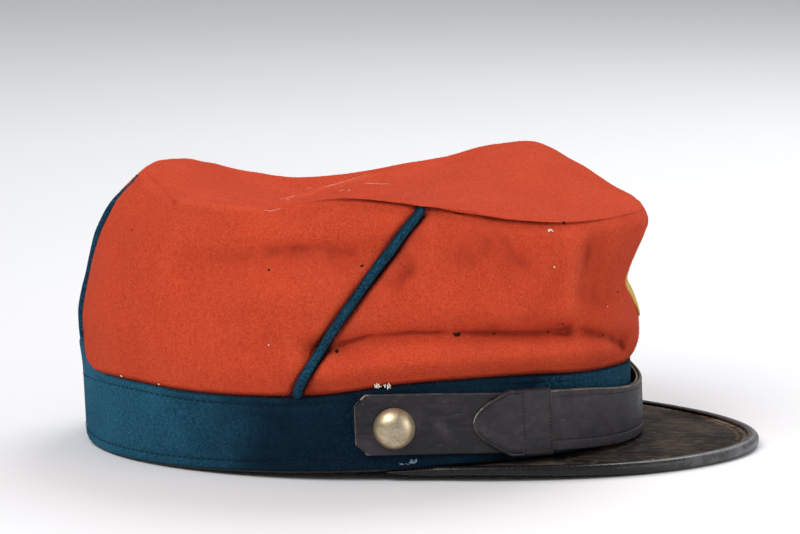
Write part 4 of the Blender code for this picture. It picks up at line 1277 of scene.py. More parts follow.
def grown(name, guide_mesh, tree, **values):
    """The plain mesh that a tree grows from a guide, without the guide."""
    guide = bpy.data.objects.new(name + "_guide", guide_mesh)
    link(guide)
    modifier = guide.modifiers.new("kepi", "NODES")
    modifier.node_group = tree
    set_inputs(modifier, **values)
    bpy.context.view_layer.update()
    graph = bpy.context.evaluated_depsgraph_get()
    mesh = bpy.data.meshes.new_from_object(guide.evaluated_get(graph))
    mesh.name = name
    bpy.data.objects.remove(guide)
    if not mesh.polygons:
        raise RuntimeError("nothing grew for " + name)
    return mesh


def line_mesh(name, lines):
    """Edges along lines of points, as a guide for stitches."""
    points, edges = [], []
    for line in lines:
        edges += [(len(points) + i, len(points) + i + 1) for i in range(len(line) - 1)]
        points += np.asarray(line).tolist()
    mesh = bpy.data.meshes.new(name)
    mesh.from_pydata(points, edges, [])
    return mesh


def stitched(name, lines, material, slot, pitch=None, run=None, radius=None):
    """Rows of stitches along lines in the model's frame."""
    trim = kepi()[3]
    values = {
        "pitch": pitch or trim.stitch_pitch,
        "stitch_length": run or trim.stitch_length,
        "thread_radius": radius or trim.thread_radius,
        "thread": material,
    }
    return finish_piece(name, grown(name, line_mesh(name, lines), stitch_tree(), **values), material, slot)


# Operators


class KepiOperator:
    """What the operators share."""

    bl_options = {"REGISTER"}

    def execute(self, context):
        self.make(*kepi())
        return {"FINISHED"}


class OBJECT_OT_kepi_crown(KepiOperator, bpy.types.Operator):
    """Makes the crown's felt: wall, hem, lip and slumped top in one shell"""

    bl_idname = "object.kepi_crown"
    bl_label = "Crown"

    def make(self, form, cloth, leather, trim, stage):
        grid, dirt, wear = crown_shell()
        panels = ("crown_front", "crown_back_right", "crown_back_left", "crown_top")
        lay_piece("crown_cloth", grid, "poles", dyed_felt("red"), panels, dirt=dirt, wear=wear)


class OBJECT_OT_kepi_piping(KepiOperator, bpy.types.Operator):
    """Makes the rolls of blue cloth in the crown's three seams"""

    bl_idname = "object.kepi_piping"
    bl_label = "Piping"

    def make(self, form, cloth, leather, trim, stage):
        for name in ("right", "left"):
            line = self.seam_line(name, 0.0, form.piping_stand)
            out = self.level_out_of(form, line)
            # The lower end runs on behind the band and the upper end goes in under the lip
            line, tuck = self.tucked(line, out, 2.3, 3.8 * MM, 0.8 * MM)
            line = line + (point(0, 0, 0.3 * MM) - out * 1.0 * MM) * tuck[::-1]
            self.make_roll(form, cloth, name, line, out, np.ones(4))
        line = self.seam_line("back", 0.11, form.piping_stand * 0.2)
        # Over the corner of the crown and onto its top
        corner = ((1.005, -0.6), (0.99, 0.2), (0.975, -0.6), (0.96, -2.4))
        over = [top_point(reach, form.back_seam) + point(0, 0, rise * MM) for reach, rise in corner]
        line = np.concatenate((line[:-3], over))
        for _ in range(3):
            line[-12:-1] += 0.5 * ((line[-13:-2] + line[-11:]) / 2 - line[-12:-1])
        out = self.level_out_of(form, line)
        line, _ = self.tucked(line, out, 2.0, 2.6 * MM, 2.2 * MM)
        self.make_roll(form, cloth, "back", line, out, (0.95, 0.8, 0.6, 0.4))

    def seam_line(self, name, start, stand):
        """A line up a seam from a share of the wall's height, at a distance off the wall."""
        shares = np.linspace(start, 1.0, PIPING_ROWS)
        return wall_point(seam_angle(name, shares), shares, stand)

    def level_out_of(self, form, line):
        """Level directions out of the crown's middle at a line."""
        return unit((line - (form.top_forward, 0, 0)) * (1, 1, 0))

    def tucked(self, line, out, rows, inwards, down):
        """The line with its first rows drawn in and down, and how much each row is."""
        tuck = np.exp(-np.arange(len(line)) / rows)[:, None]
        return line - out * tuck * inwards - unit(line[3] - line[0]) * tuck * down, tuck

    def make_roll(self, form, cloth, name, line, out, end_taper):
        line = line + 0.14 * MM * np.stack([swell(line, 9, cloth.seed + k) for k in range(3)], -1)
        radius = form.piping_diameter / 2 * (0.90 + 0.06 * swell(line, 5, cloth.seed + 5))
        radius[-4:] *= end_taper
        # Painted shade where the roll meets the cloth, more behind it than before it, over a little soil
        turned = np.degrees(full_turn(PIPING_SIDES))
        behind = 180 if name != "left" else 0
        painted_shade_and_soil = bell((turned - behind + 180) % 360 - 180, 42) + 0.35 * bell((turned - behind) % 360 - 180, 26)
        painted_shade_and_soil = painted_shade_and_soil * (0.4 if name == "back" else 1)
        painted_shade_and_soil = np.clip(painted_shade_and_soil * 0.8 + 0.12 * (swell(line, 12, 9) + 1)[:, None], 0, 1)
        wear = np.broadcast_to(0.08 + 0.10 * swell(line, 7, 11)[:, None], painted_shade_and_soil.shape)
        values = {"dirt": painted_shade_and_soil, "wear": wear}
        mesh = tube("piping_roll_" + name, lay_down(line), radius, PIPING_SIDES, out, values)
        finish_piece("piping_roll_" + name, mesh, dyed_felt("blue"), "piping_" + name, "piping_" + name)


class OBJECT_OT_kepi_band(KepiOperator, bpy.types.Operator):
    """Makes the band's cloth with its stitched edges, and the sweatband inside it"""

    bl_idname = "object.kepi_band"
    bl_label = "Band"

    def make(self, form, cloth, leather, trim, stage):
        angles = full_turn(BAND_COLUMNS)
        low, hem = rim_bottom(angles) + BAND_LIFT, band_top(angles) + form.gap
        # At the back the cloth climbs the crown's wall, where the piping runs out into it
        high = hem - form.gap + 11 * MM * bell(wrapped(angles - form.back_seam), math.radians(14))
        rows, dirt = [], []
        section = [(edge, *row) for edge, part in BAND_SECTION for row in part]
        for edge, distance, outwards in section:
            height = low + distance * MM if edge == "low" else high - distance * MM
            part = np.clip((height - hem) / (crest_height(angles) - hem), 0, 1)
            bulge = wall_point(angles, part) - wall_point(angles, 0.0)
            bulge = np.linalg.norm(bulge[:, :2], axis=1) * (part > 0)
            rows.append(band_point(angles, bulge + outwards * MM, height))
            # Painted shade on the band's turned-in and inner faces, and a little in its stitch grooves
            dirt.append(np.full(BAND_COLUMNS, 0.9 if outwards < -0.3 else 0.2 * (outwards < -0.15)))
        grid = np.array(rows)
        out = band_out(angles)[None]
        uneven = 0.22 * (swell(grid, 16, 31) - 1) + 0.07 * (swell(grid, 4, 32) - 1)
        outside = np.array([[outwards > -1.5] for _, _, outwards in section])
        grid = grid + out * (uneven * outside * MM)[..., None]
        # Paler towards the back and at the very front, darker along the sides
        from_front = np.degrees(np.abs(wrapped(angles)))
        fade = smooth_step(from_front, 92, 160) - 0.1 * smooth_step(from_front, 60, 80)
        darker_sides = 0.62 * smooth_step(-from_front, -150, -90) * (1 - 0.75 * smooth_step(-from_front, -58, -36))
        darker_sides = darker_sides + 0.14 * swell(grid, 15, 34)
        fade = fade + 0.15 * smooth_step(-from_front, -50, -30)
        wear = np.clip(fade + 0.30 * swell(grid, 13, 33) * (0.4 + fade), 0, 1)
        dirt = np.clip(np.array(dirt) + np.clip(darker_sides, 0, 1) * outside, 0, 1)
        lay_piece("band_cloth", grid, "loop", dyed_felt("blue"), ("band",), dirt=dirt, wear=wear)
        self.make_sweatband(form, angles[::2])

    def make_sweatband(self, form, angles):
        low, skin = rim_bottom(angles), form.sweat_leather
        outer, inner = -form.band_cloth - form.gap, -form.band_cloth - form.gap - skin
        section = (
            (-form.gap - 1.6 * MM, 0.0),
            (-form.gap - 1.25 * MM, 0.35 * MM),
            (-form.gap - 1.3 * MM, skin - 0.3 * MM),
            (-form.gap - 1.65 * MM, skin),
            (outer - 0.1 * MM, skin + 0.05 * MM),
            (outer, skin + 0.6 * MM),
            (outer, form.sweat_height * 0.5),
            (outer, form.sweat_height - 0.3 * MM),
            (outer - 0.3 * MM, form.sweat_height),
            (inner + 0.3 * MM, form.sweat_height),
            (inner, form.sweat_height - 0.3 * MM),
            (inner, form.sweat_height * 0.5),
            (inner, 0.8 * MM),
            (inner + 0.5 * MM, 0.1 * MM),
            (outer, 0.0),
        )
        grid = np.array([band_point(angles, outwards, low + height) for outwards, height in section])
        inside = np.array([[height > 2 * MM] for _, height in section])
        out = band_out(angles)[None]
        grid = grid + out * (0.15 * MM * (swell(grid, 14, 41) * inside))[..., None]
        lay_piece("sweatband_leather", grid, "loop", binding_leather(), ("sweatband",))


class OBJECT_OT_kepi_visor(KepiOperator, bpy.types.Operator):
    """Makes the visor's leather and the strip folded round its edge"""

    bl_idname = "object.kepi_visor"
    bl_label = "Visor"

    def make(self, form, cloth, leather, trim, stage):
        root, edge, out, thin = visor_run(VISOR_COLUMNS)
        deep = np.linalg.norm((edge - root)[:, :2], axis=1)
        level = np.minimum(leather.binding_lap + leather.visor_leather / 2, deep / 2)
        margin = edge - out * level[:, None]
        shares = 1 - (1 - np.linspace(0, 1, 40)) ** 1.6
        top = [root + (margin - root) * part for part in shares]
        top = np.array(top + [edge - out * (level * 0.5)[:, None], edge])
        width = np.linalg.norm((margin - root)[:, :2], axis=1)
        warp = 0.45 * swell(top, 26, 51) + 0.12 * swell(top, 9, 52)
        beside = np.append(shares, (1, 1))
        fade = (np.sin(math.pi * beside) ** 0.7)[:, None] * smooth_step(width, 4 * MM, 20 * MM)
        top[..., 2] += warp * fade * MM
        bottom = (top - point(0, 0, leather.visor_leather * thin))[::-1]
        ring = swapped(np.concatenate((top, bottom)))
        inside = (1 - beside[:, None]) * width
        groove = bell(inside, 0.8 * MM) + 0.7 * bell(inside - 2.6 * MM, 0.45 * MM)
        rub = 0.20 + 0.85 * swell(top, 13, 53).clip(-0.4, 1) + 0.2 * np.sin(math.pi * beside)[:, None]
        ring_scuff = 0.0
        for pixel, radius, breadth in VISOR_RINGS:
            start, ahead = sight_line(pixel)
            start, ahead = np.array(start), np.array(ahead)
            middle = start + ahead * ((-1.5 * MM - start[2]) / ahead[2])
            away = np.linalg.norm((top - middle)[..., :2], axis=-1) - radius * MM
            ring_scuff = ring_scuff + bell(away, breadth * MM) * (0.4 + 0.6 * swell(top, 4, 58).clip(0, 1))
        edge_tone = 0.9 * groove * (0.6 + 0.6 * swell(top, 11, 54)) + 0.6 * ring_scuff
        blank = np.zeros(top.shape[:2])
        rub, edge_tone = (swapped(np.concatenate((np.clip(tone, 0, 1), blank))) for tone in (rub, edge_tone))
        lay_piece("visor_leather", ring, "caps", visor_leather(), ("visor",), rub=rub, edge=edge_tone)
        self.make_binding(form, leather)

    def make_binding(self, form, leather):
        _, edge, out, thin = visor_run(BINDING_COLUMNS)
        middle = -leather.visor_leather / 2
        half = leather.visor_leather / 2 + form.gap + leather.binding_leather
        reach = form.gap + leather.binding_leather
        # One half of its section: from its inner edge outwards, and down from its face, in mm
        lap = [(0.0, 0.75), (0.12, 0.3), (0.5, 0.06)]
        upper = [(-leather.binding_lap + start * MM, half - down * MM) for start, down in lap]
        upper.append((-1.6 * MM, half))
        section = list(upper)
        for angle in np.radians(np.linspace(80, -80, 17)):
            section.append((-0.9 * MM + (reach + 0.9 * MM) * math.cos(angle) ** 0.8, half * math.sin(angle)))
        section += [(outwards, -height) for outwards, height in reversed(upper)]
        section += [(-leather.binding_lap + 0.8 * MM, side * (half - 1.1 * MM)) for side in (-1, 1)]
        grid = swapped([
            edge + out * (outwards * thin)[:, None] + point(0, 0, (middle + height) * thin)
            for outwards, height in section
        ])
        lumps = 0.09 * MM * swell(grid, 7, 55) + 0.025 * MM * swell(grid, 2, 56)
        grid = grid + out[:, None] * lumps[..., None]
        across = np.array([outwards for outwards, _ in section])
        inner_side = bell(across + leather.binding_lap, 0.5 * MM)
        edge_tone = np.clip(0.55 * inner_side[None] * (0.5 + swell(grid, 9, 57)), 0, 1)
        face = across > -1.2 * MM
        # Painted reflection: the face turned to the front right is paler, as though it mirrored a bright
        # light
        rub = smooth_step(out[:, :1], 0.45, 0.95) * face * np.clip(0.75 + 0.3 * swell(grid, 6, 59), 0, 1)
        lay_piece("visor_rim", grid, "caps", binding_leather(), ("visor_binding",), edge=edge_tone, rub=rub)


class OBJECT_OT_kepi_straps(KepiOperator, bpy.types.Operator):
    """Makes the chin strap's two strips, its loops and the pointed tabs behind them"""

    bl_idname = "object.kepi_straps"
    bl_label = "Chin strap"

    def make(self, form, cloth, leather, trim, stage):
        for name, side in SIDES:
            self.make_strip(leather, name, side)
            self.make_loop(form, leather, name, side)
            self.make_tab(leather, name, side)

    def make_strip(self, leather, name, side):
        half, skin = leather.strap_width / 2, leather.strap_leather
        corner = leather.strap_corner / per_angle(leather.strap_start)
        end = -leather.loop_front - leather.strap_past
        cut_rows = np.linspace(leather.strap_start, leather.strap_start - corner, CUT_ROWS)[:-1]
        angles = np.concatenate((cut_rows, np.linspace(leather.strap_start - corner, end, STRAP_ROWS)))
        cut = np.clip((leather.strap_start - angles) / corner, 0, 1)
        halves = half - leather.strap_corner * (1 - cut)
        inner, level = strap_stand(angles, side), strap_level(angles)
        # It leans out at the front, where its upper edge comes lower
        upper = 1 - 0.20 * smooth_step(-np.abs(angles), -math.radians(34), -math.radians(8))
        rings, edge_tone = [], []
        for across, outwards in STRAP_SECTION:
            place = across * MM / half
            # Grooves keep their place where the corners are cut off
            height = np.clip(across * MM, -halves, halves) if abs(place) < 0.9 else halves * place
            if abs(place) < 0.85:
                outwards = 1 - (1 - outwards) * smooth_step(-angles, -loop_back(), -leather.loop_front)
            height = np.where(height > 0, height * upper, height)
            rings.append(band_point(side * angles, inner + outwards * skin, level + height))
            raw = 1.0 if abs(place) > 0.975 and np.max(outwards) < 0.9 else 0.0
            edge_tone.append(raw * 0.7 * (across > 0) * (angles < leather.loop_front))
        grid = swapped(rings)
        wave = 0.10 * MM * swell(grid, 15, 61) + 0.04 * MM * swell(grid, 4, 62)
        calm = smooth_step(leather.strap_start - angles, math.radians(14), math.radians(24))
        out = band_out(side * angles)
        grid = grid + out[:, None] * (wave * calm[:, None])[..., None]
        edge_tone = swapped(edge_tone)
        # The corners cut off its end show the pale leather, the upper one brighter with a painted highlight,
        # and a smear crosses its face
        rim = np.array([(abs(across) > 10.4) * (1.0 if across > 0 else 0.45) for across, _ in STRAP_SECTION])
        edge_tone[:CUT_ROWS] = np.maximum(edge_tone[:CUT_ROWS], rim)
        rub = (rim > 0.9) * (0.30 + 0.35 * swell(grid, 5, 64).clip(0, 1))
        rub[:CUT_ROWS] = rim
        # A painted highlight along the bevel at the strap's end
        edge_tone[0], rub[0] = 0.35, 0.6
        face = np.array([outwards > 0.5 for _, outwards in STRAP_SECTION])
        smear = distance_to_line(grid, band_line(((439, 427), (443, 431), (448, 436))))
        rub = rub + bell(smear, 1.7 * MM) * face * (side < 0)
        # Painted light: paler towards the front, where the front light falls on it
        rub = rub + 0.24 * smooth_step(-angles, -leather.loop_front, -math.radians(15))[:, None] * face
        rub = np.clip(rub + 0.22 * smooth_step(swell(grid, 9, 63), 0.15, 0.6) * face, 0, 1)
        nodes = ("strap_" + name,)
        lay_piece("strap_leather_" + name, grid, "caps", strap_leather(), nodes, edge=edge_tone, rub=rub)

    def make_loop(self, form, leather, name, side):
        inner_in = leather.strap_stand - form.gap
        inner_out = leather.strap_stand + 2 * leather.strap_leather + 2 * form.gap
        half, skin = leather.strap_width / 2 + form.gap, leather.loop_leather
        corners = ((inner_in, -half), (inner_out, -half), (inner_out, half), (inner_in, half))
        bend = 0.45 * MM
        path, facing = [], []
        for (outwards, height), start in zip(corners, (180, -90, 0, 90)):
            facing_out = 1 if outwards == inner_out else -1
            facing_up = 1 if height > 0 else -1
            for angle in np.radians(start + np.linspace(0, 90, 5)):
                path.append((outwards - facing_out * bend, height - facing_up * bend))
                facing.append((math.cos(angle), math.sin(angle)))
        path, facing = np.array(path), np.array(facing)
        length_shares = np.array((0.0, 0.03, 0.10, 0.2, 0.35, 0.5, 0.65, 0.8, 0.90, 0.97, 1.0))
        lifts = np.array((0.35, 0.8, 1.0, 1.0, 1.0, 1.0, 1.0, 1.0, 1.0, 0.8, 0.35))
        section = [(s, bend + skin * lift) for s, lift in zip(length_shares, lifts)]
        section += [(s, bend + 0.02 * MM) for s in length_shares[::-3]]
        angles = np.array([leather.loop_front + (loop_back() - leather.loop_front) * s for s, _ in section])
        depths = np.array([depth for _, depth in section])
        outwards = path[:, None, 0] + facing[:, None, 0] * depths[None]
        height = path[:, None, 1] + facing[:, None, 1] * depths[None]
        round_angles = side * np.broadcast_to(angles, outwards.shape)
        grid = band_point(round_angles, outwards, strap_level(angles)[None] + height)
        raw = np.broadcast_to(np.array([0.7, 0.35] + [0.0] * (len(section) - 2)), outwards.shape)
        rub = np.full(outwards.shape, 0.16)
        lay_piece("slide_" + name, grid, "loop", strap_leather(), ("strap_loop_" + name,), edge=raw, rub=rub)

    def make_tab(self, leather, name, side):
        tuck = 1.2 * MM
        shares = np.concatenate((np.linspace(0, 0.55, 12), np.linspace(0.58, 1, 34)))
        run = -tuck + (leather.tab_length + tuck) * shares
        to_tip = np.maximum(leather.tab_length - run, 0)
        # It rises from its tip to the face of the loop
        angles, halves, rise = tab_shape(run)
        inner = strap_stand(angles, side) + leather.strap_leather + 0.15 * MM
        level, skin = strap_level(angles), leather.strap_leather + rise
        rings, edge_tone = [], []
        # Inwards from the edge in mm, then the share of the leather's thickness
        profile = ((0.0, 0.25), (0.10, 0.68), (0.34, 0.94), (0.7, 1.0), (1.0, 1.0))
        profile += ((TAB_GROOVE, 0.84), (1.5, 1.0), (3.4, 1.0))
        section = [(-1, inwards, deep) for inwards, deep in profile] + [(0, 0, 1.0)]
        section += [(1, inwards, deep) for inwards, deep in reversed(profile)]
        section += [(1, 0.12, 0.0), (0, 0, 0.0), (-1, 0.12, 0.0)]
        for sign, inwards, deep in section:
            height = sign * np.maximum(halves - inwards * MM, halves * 0.02 * (4 - inwards))
            rings.append(band_point(side * angles, inner + deep * skin, level + height))
            # Cut edges show the pale leather, the upper edge more, where the extra is a painted highlight
            bare = (0.4 if sign > 0 else 0.12) if inwards < 0.2 and sign and deep < 0.9 else 0.0
            edge_tone.append(np.full(len(angles), bare))
        grid = swapped(rings)
        edge_tone = swapped(edge_tone)
        # Near the tip the edges go cream, partly worn leather and partly a painted highlight
        near_tip = smooth_step(-to_tip, -7 * MM, -2 * MM)[:, None]
        rub = np.where(edge_tone > 0, near_tip, 0.16)
        edge_tone = edge_tone * (0.2 + 2.0 * near_tip)
        nodes = ("strap_tongue_" + name,)
        lay_piece("tab_" + name, grid, "caps", strap_leather(), nodes, edge=edge_tone, rub=rub)


class OBJECT_OT_kepi_buttons(KepiOperator, bpy.types.Operator):
    """Makes the two domed side buttons"""

    bl_idname = "object.kepi_buttons"
    bl_label = "Buttons"

    def make(self, form, cloth, leather, trim, stage):
        profile = np.array(BUTTON_PROFILE) * MM
        profile[:, 0] *= trim.button_diameter / (BUTTON_PROFILE_WIDTH * MM)
        turns = full_turn(BUTTON_SIDES)
        for name, side in SIDES:
            angle = side * trim.button_angle
            seat = band_point(angle, leather.strap_leather + 2 * form.gap, trim.button_level)
            out = band_out(angle)
            ring = np.cross(UP, out) * np.cos(turns)[:, None] + UP * np.sin(turns)[:, None]
            grid = seat + ring[None] * profile[:, None, :1] + out * profile[:, None, 1:]
            dents = 0.05 * MM * swell(grid, 3.5, 71) + 0.03 * MM * swell(grid, 1.4, 72)
            dome = (profile[:, 1] > 1.5 * MM)[:, None]
            grid = grid + out * (dents * dome)[..., None]
            radius = np.broadcast_to(profile[:, :1], grid.shape[:2]) / (trim.button_diameter / 2)
            # Browner to the front and below: painted shade on the side away from the light, over the brown
            # tarnish at the rim
            shaded = 0.5 - 0.5 * np.sin(turns + 0.6)[None]
            rim = smooth_step(radius, 0.74, 1.0) * (0.45 + 0.75 * shaded)
            middle = 1 - smooth_step(radius, 0.25, 0.75)
            brass = dull_brass("brass_dull", tuple(trim.brass))
            lay_piece("button_brass_" + name, grid, "poles", brass, ("button_" + name,), edge=rim, rub=middle)


class OBJECT_OT_kepi_patch(KepiOperator, bpy.types.Operator):
    """Makes the plain yellow cloth patch at the front, with its stitched border"""

    bl_idname = "object.kepi_patch"
    bl_label = "Front patch"

    def make(self, form, cloth, leather, trim, stage):
        wall_height = crown_edge(0.0) - band_top(0.0)
        turns = full_turn(PATCH_SIDES)

        def patch_point(reach, outwards):
            angle = trim.patch_angle + reach * trim.patch_width / 2 * np.cos(turns) / (form.band_width / 2)
            height = trim.patch_level + reach * trim.patch_height / 2 * np.sin(turns) / wall_height
            return wall_point(angle, height, outwards)

        lifts = (-PATCH_SINK + lift * trim.patch_cloth for _, lift in PATCH_SECTION)
        grid = np.array([patch_point(reach, lift) for (reach, _), lift in zip(PATCH_SECTION, lifts)])
        out = band_out(trim.patch_angle)
        grid = grid + out * (0.12 * MM * swell(grid, 5, 81))[..., None]
        dirt = np.clip(0.25 + 0.3 * swell(grid, 8, 82), 0, 1)
        lay_piece("front_patch", grid, "poles", dyed_felt("yellow"), ("front_badge",), dirt=dirt)
        border = patch_point(PATCH_BORDER, -PATCH_SINK + 0.85 * trim.patch_cloth)
        thread = plain_fibre("thread_yellow", (0.55, 0.32, 0.05))
        line = lay_down(np.concatenate((border, border[:1])))
        stitched("patch_stitches", [line], thread, "front_badge", 2.2 * MM, 1.5 * MM)


class OBJECT_OT_kepi_stitches(KepiOperator, bpy.types.Operator):
    """Sews the band's edges, the loops and the tabs"""

    bl_idname = "object.kepi_stitches"
    bl_label = "Stitches"

    def make(self, form, cloth, leather, trim, stage):
        lines = []
        for edge, distance, start in BAND_LINES:
            angles = np.radians(np.linspace(start, 360 - start, STITCH_LINE_POINTS))
            low, high = rim_bottom(angles) + BAND_LIFT, band_top(angles)
            height = low + distance * MM if edge == "low" else high - distance * MM
            lines.append(lay_down(band_point(angles, -0.26 * MM, height)))
        stitched("band_stitches", lines, plain_fibre("thread_blue", (0.003, 0.011, 0.020)), "band")
        thread = plain_fibre("thread_black", (0.004, 0.0035, 0.004), 0.7)
        for name, side in SIDES:
            lines = self.tab_lines(form, leather, side)
            sizes = 1.3 * MM, 0.9 * MM, 0.16 * MM
            stitched("tab_stitches_" + name, lines, thread, "strap_tongue_" + name, *sizes)

    def tab_lines(self, form, leather, side):
        """Along both curved edges of the tab, and up the seam beside its loop."""
        full = leather.strap_width / 2 + form.gap + leather.loop_leather
        angles, halves, rise = tab_shape(np.linspace(0.4 * MM, leather.tab_length - 1.6 * MM, 40))
        inner = strap_stand(angles, side) + 2 * leather.strap_leather + 0.12 * MM + rise
        lines = []
        for sign in (-1, 1):
            height = strap_level(angles) + sign * np.maximum(halves - TAB_GROOVE * MM, 0)
            lines.append(lay_down(band_point(side * angles, inner, height)))
        across = np.linspace(-full + 1.2 * MM, full - 1.2 * MM, 24)
        step = 1.1 * MM / per_angle(leather.loop_front)
        face = leather.strap_stand + 2 * leather.strap_leather + 2 * form.gap + leather.loop_leather
        for seam in (loop_back() - step, leather.loop_front + 0.8 * step):
            lines.append(lay_down(band_point(side * seam, face, strap_level(seam) + across)))
        return lines


class OBJECT_OT_kepi_nap(KepiOperator, bpy.types.Operator):
    """Strews the loose hairs that stand on the felt"""

    bl_idname = "object.kepi_nap"
    bl_label = "Nap"

    def make(self, form, cloth, leather, trim, stage):
        outer = marked_crown(CROWN_COLUMNS // 3, CROWN_ROWS // 2, CROWN_RINGS // 2)[0]
        surface = grid_mesh("crown_nap", lay_down(outer[3:]), "caps")
        fibre = plain_fibre("fibre_red", (0.62, 0.085, 0.045), 0.9)
        values = {"hair_length": cloth.nap_length, "hair_breadth": cloth.nap_breadth, "seed": cloth.seed}
        mesh = grown("crown_nap", surface, nap_tree(), density=cloth.nap_density, fibre=fibre, **values)
        finish_piece("crown_nap", mesh, fibre, "crown_front")


class OBJECT_OT_kepi_spots(KepiOperator, bpy.types.Operator):
    """Sets the moth holes, lint, hairs and frayed threads where the photograph shows them"""

    bl_idname = "object.kepi_spots"
    bl_label = "Holes and lint"

    def make(self, form, cloth, leather, trim, stage):
        grid, _, _ = marked_crown(CROWN_COLUMNS, CROWN_ROWS, CROWN_RINGS)
        tree = surface_tree(grid)
        random = np.random.default_rng(cloth.seed)
        holes, specks = [], []
        for kind, (pixel, size) in ((kind, spot) for kind, spots in SPOTS.items() for spot in spots):
            hit, normal, _, _ = tree.ray_cast(*sight_line(pixel))
            if hit is None:
                raise RuntimeError("a spot misses the crown at pixel %s" % (pixel,))
            out = np.array(normal) * (-1 if normal.dot(sight_line(pixel)[1]) > 0 else 1)
            across = unit(np.cross((0, 0, 1), out))
            place = random, np.array(hit), out, across, np.cross(out, across)
            if kind == "hole":
                holes.append(self.pit(*place, size * MM / 2))
            else:
                specks += self.fluff(*place, size * MM, FLUFF_STRANDS[kind])
        for pixels in HAIRS:
            specks.append(self.hair(points_under(tree, pixels), random, HAIR_RADIUS))
        scuff = []
        for tuft in TUFTS:
            for _ in range(tuft.count):
                spread = (tuft.half_width, tuft.half_height * 0.5)
                middle = np.array(tuft.middle) + random.uniform(-1, 1, 2) * spread
                reach = random.uniform(-1, 1, 2) * tuft.reach
                strand = (middle - reach, middle + random.uniform(-0.8, 0.8, 2), middle + reach)
                strand = self.hair(band_line(strand), random, tuft.radius, 0.5 if tuft.pale else 0.2)
                (specks if tuft.pale else scuff).append(strand)
        for name, meshes, slot, material in (
            # Moth holes are dark discs: painted shade in place of the holes
            ("moth_holes", holes, "crown_front", plain_fibre("hole_dark", (0.012, 0.006, 0.005), 1.0)),
            ("lint", specks, "crown_front", plain_fibre("lint_pale", (0.72, 0.66, 0.58), 0.9)),
            ("band_scuff", scuff, "band", plain_fibre("fibre_faded_blue", (0.24, 0.33, 0.42), 0.9)),
        ):
            finish_piece(name, joined(name, meshes), material, slot)

    def pit(self, random, middle, out, across, up, radius):
        """A ragged dark disc with a low rim laid on the cloth: painted shade for a hole."""
        turns = full_turn(PIT_SIDES)
        ragged = 1 + 0.28 * np.sin(turns * 2 + random.uniform(0, 6)) + random.uniform(-0.16, 0.16, PIT_SIDES)
        wide, high = ((side * ragged)[:, None] for side in (np.cos(turns), np.sin(turns)))
        ring = across * wide * 1.15 + up * high * 0.85
        section = ((0.05, 0.06), (0.5, 0.07), (0.85, 0.10), (1.0, 0.02), (1.0, -0.5), (0.05, -0.6))
        rows = [middle + ring * radius * reach + out * lift * MM for reach, lift in section]
        return grid_mesh("pit", lay_down(np.array(rows)), "poles")

    def hair(self, points, random, radius, stand=0.25):
        """One pale hair or thread through points of the cloth, standing a little off it."""
        places = np.linspace(0, len(points) - 1, 4 * len(points))
        line = np.stack([np.interp(places, np.arange(len(points)), points[:, k]) for k in range(3)], -1)
        out = unit((line.mean(0) - (0, 0, line.mean(0)[2])))
        line = line + out * (stand + 0.12 * random.uniform(-1, 1, len(line)))[:, None] * MM
        thick = np.clip(np.minimum(places, places[::-1]) * 3, 0.3, 1) * radius * MM
        return tube("hair", lay_down(line), thick, STRAND_SIDES, np.broadcast_to(out, line.shape))

    def fluff(self, random, middle, out, across, up, size, count):
        """Short pale fibres crossed over one place."""
        strands = []
        for _ in range(count):
            angle = random.uniform(0, math.pi)
            run = across * math.cos(angle) + up * math.sin(angle)
            bow = random.uniform(0.1, 0.5)
            reach = np.linspace(-1, 1, 7)[:, None] * size * random.uniform(0.35, 0.6)
            lift = (0.16 * MM + bow * size * 0.3 * (1 - np.linspace(-1, 1, 7) ** 2))[:, None]
            line = middle + run * reach + out * lift + across * random.uniform(-0.15, 0.15) * size
            thick = np.array((0.4, 0.9, 1, 1, 1, 0.9, 0.4)) * 0.13 * MM
            strands.append(tube("strand", lay_down(line), thick, STRAND_SIDES, out))
        return strands


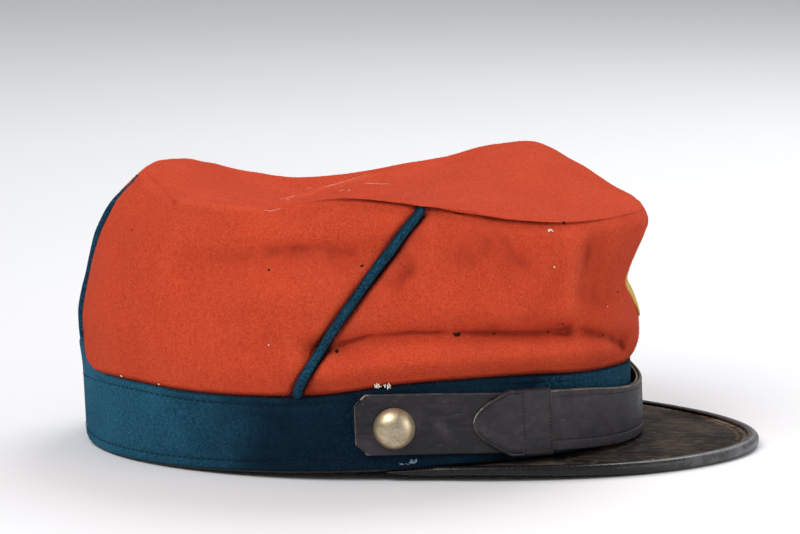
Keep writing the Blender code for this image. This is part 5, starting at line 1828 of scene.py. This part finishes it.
class OBJECT_OT_kepi_stage(KepiOperator, bpy.types.Operator):
    """Sets the floor, the soft lights, the surroundings and the camera"""

    bl_idname = "object.kepi_stage"
    bl_label = "Stage"

    def make(self, form, cloth, leather, trim, stage):
        floor = bpy.data.meshes.new("floor")
        corners = ((-1, -1), (1, -1), (1, 1), (-1, 1))
        floor.from_pydata([(x * FLOOR_REACH, y * FLOOR_REACH, 0) for x, y in corners], [], [(0, 1, 2, 3)])
        ground = bpy.data.objects.new("floor", floor)
        material, start, shader, spot = start_material("floor_pale")
        grain = noise(start, spot, 3.0)
        tone = tuple(stage.ground)
        tint = grain.between(0.2, 0.8).blend(shade(tone, 0.985), shade(tone, 1.015))
        settle(shader, Base_Color=tint, Roughness=0.6)
        floor.materials.append(material)
        link(ground)
        for name, place, size in LIGHTS:
            self.set_light(name + "_light", place, size, getattr(stage, name + "_power"))
        world = bpy.data.worlds.new("surroundings")
        world.use_nodes = True
        background = world.node_tree.nodes["Background"]
        background.inputs["Color"].default_value = (*stage.sky, 1)
        background.inputs["Strength"].default_value = SKY_STRENGTH
        bpy.context.scene.world = world
        bpy.context.scene.view_settings.view_transform = "Standard"
        lens = bpy.data.cameras.new("camera")
        lens.lens = stage.camera_lens
        lens.sensor_width = SENSOR_WIDTH
        lens.sensor_fit = "HORIZONTAL"
        camera = bpy.data.objects.new("camera", lens)
        place, aim = Vector(stage.camera_place), Vector(stage.camera_aim)
        camera.location = place
        camera.rotation_euler = (aim - place).to_track_quat("-Z", "Y").to_euler()
        link(camera)
        bpy.context.scene.camera = camera

    def set_light(self, name, place, size, power):
        lamp = bpy.data.lights.new(name, "AREA")
        lamp.shape, lamp.size, lamp.energy = "DISK", size, power
        light = bpy.data.objects.new(name, lamp)
        light.location = place
        light.rotation_euler = (Vector((0, 0, 0.05)) - Vector(place)).to_track_quat("-Z", "Y").to_euler()
        link(light)


GROUPS = {
    "kepi_form": KepiForm,
    "kepi_cloth": KepiCloth,
    "kepi_leather": KepiLeather,
    "kepi_trim": KepiTrim,
    "kepi_stage": KepiStage,
}
OPERATORS = (
    OBJECT_OT_kepi_crown,
    OBJECT_OT_kepi_piping,
    OBJECT_OT_kepi_band,
    OBJECT_OT_kepi_visor,
    OBJECT_OT_kepi_straps,
    OBJECT_OT_kepi_buttons,
    OBJECT_OT_kepi_patch,
    OBJECT_OT_kepi_stitches,
    OBJECT_OT_kepi_nap,
    OBJECT_OT_kepi_spots,
    OBJECT_OT_kepi_stage,
)


class KEPI_PT_panel(bpy.types.Panel):
    """Lists the cap's sizes and the operators that make its pieces"""

    bl_idname = "KEPI_PT_panel"
    bl_label = "Kepi Cap"
    bl_space_type = "VIEW_3D"
    bl_region_type = "UI"
    bl_category = "Kepi"

    def draw(self, context):
        for name, group in GROUPS.items():
            box = self.layout.box()
            box.label(text=group.__doc__)
            for key in group.__annotations__:
                box.prop(getattr(context.scene, name), key)
        for operator in OPERATORS:
            self.layout.operator(operator.bl_idname)


def register():
    for name, group in GROUPS.items():
        bpy.utils.register_class(group)
        setattr(bpy.types.Scene, name, PointerProperty(type=group))
    for made in (*OPERATORS, KEPI_PT_panel):
        bpy.utils.register_class(made)


def unregister():
    for made in (KEPI_PT_panel, *reversed(OPERATORS)):
        bpy.utils.unregister_class(made)
    for name, group in reversed(GROUPS.items()):
        delattr(bpy.types.Scene, name)
        bpy.utils.unregister_class(group)


def main():
    register()
    for operator in OPERATORS:
        family, name = operator.bl_idname.split(".")
        getattr(getattr(bpy.ops, family), name)()
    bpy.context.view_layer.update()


if __name__ == "__main__":
    main()
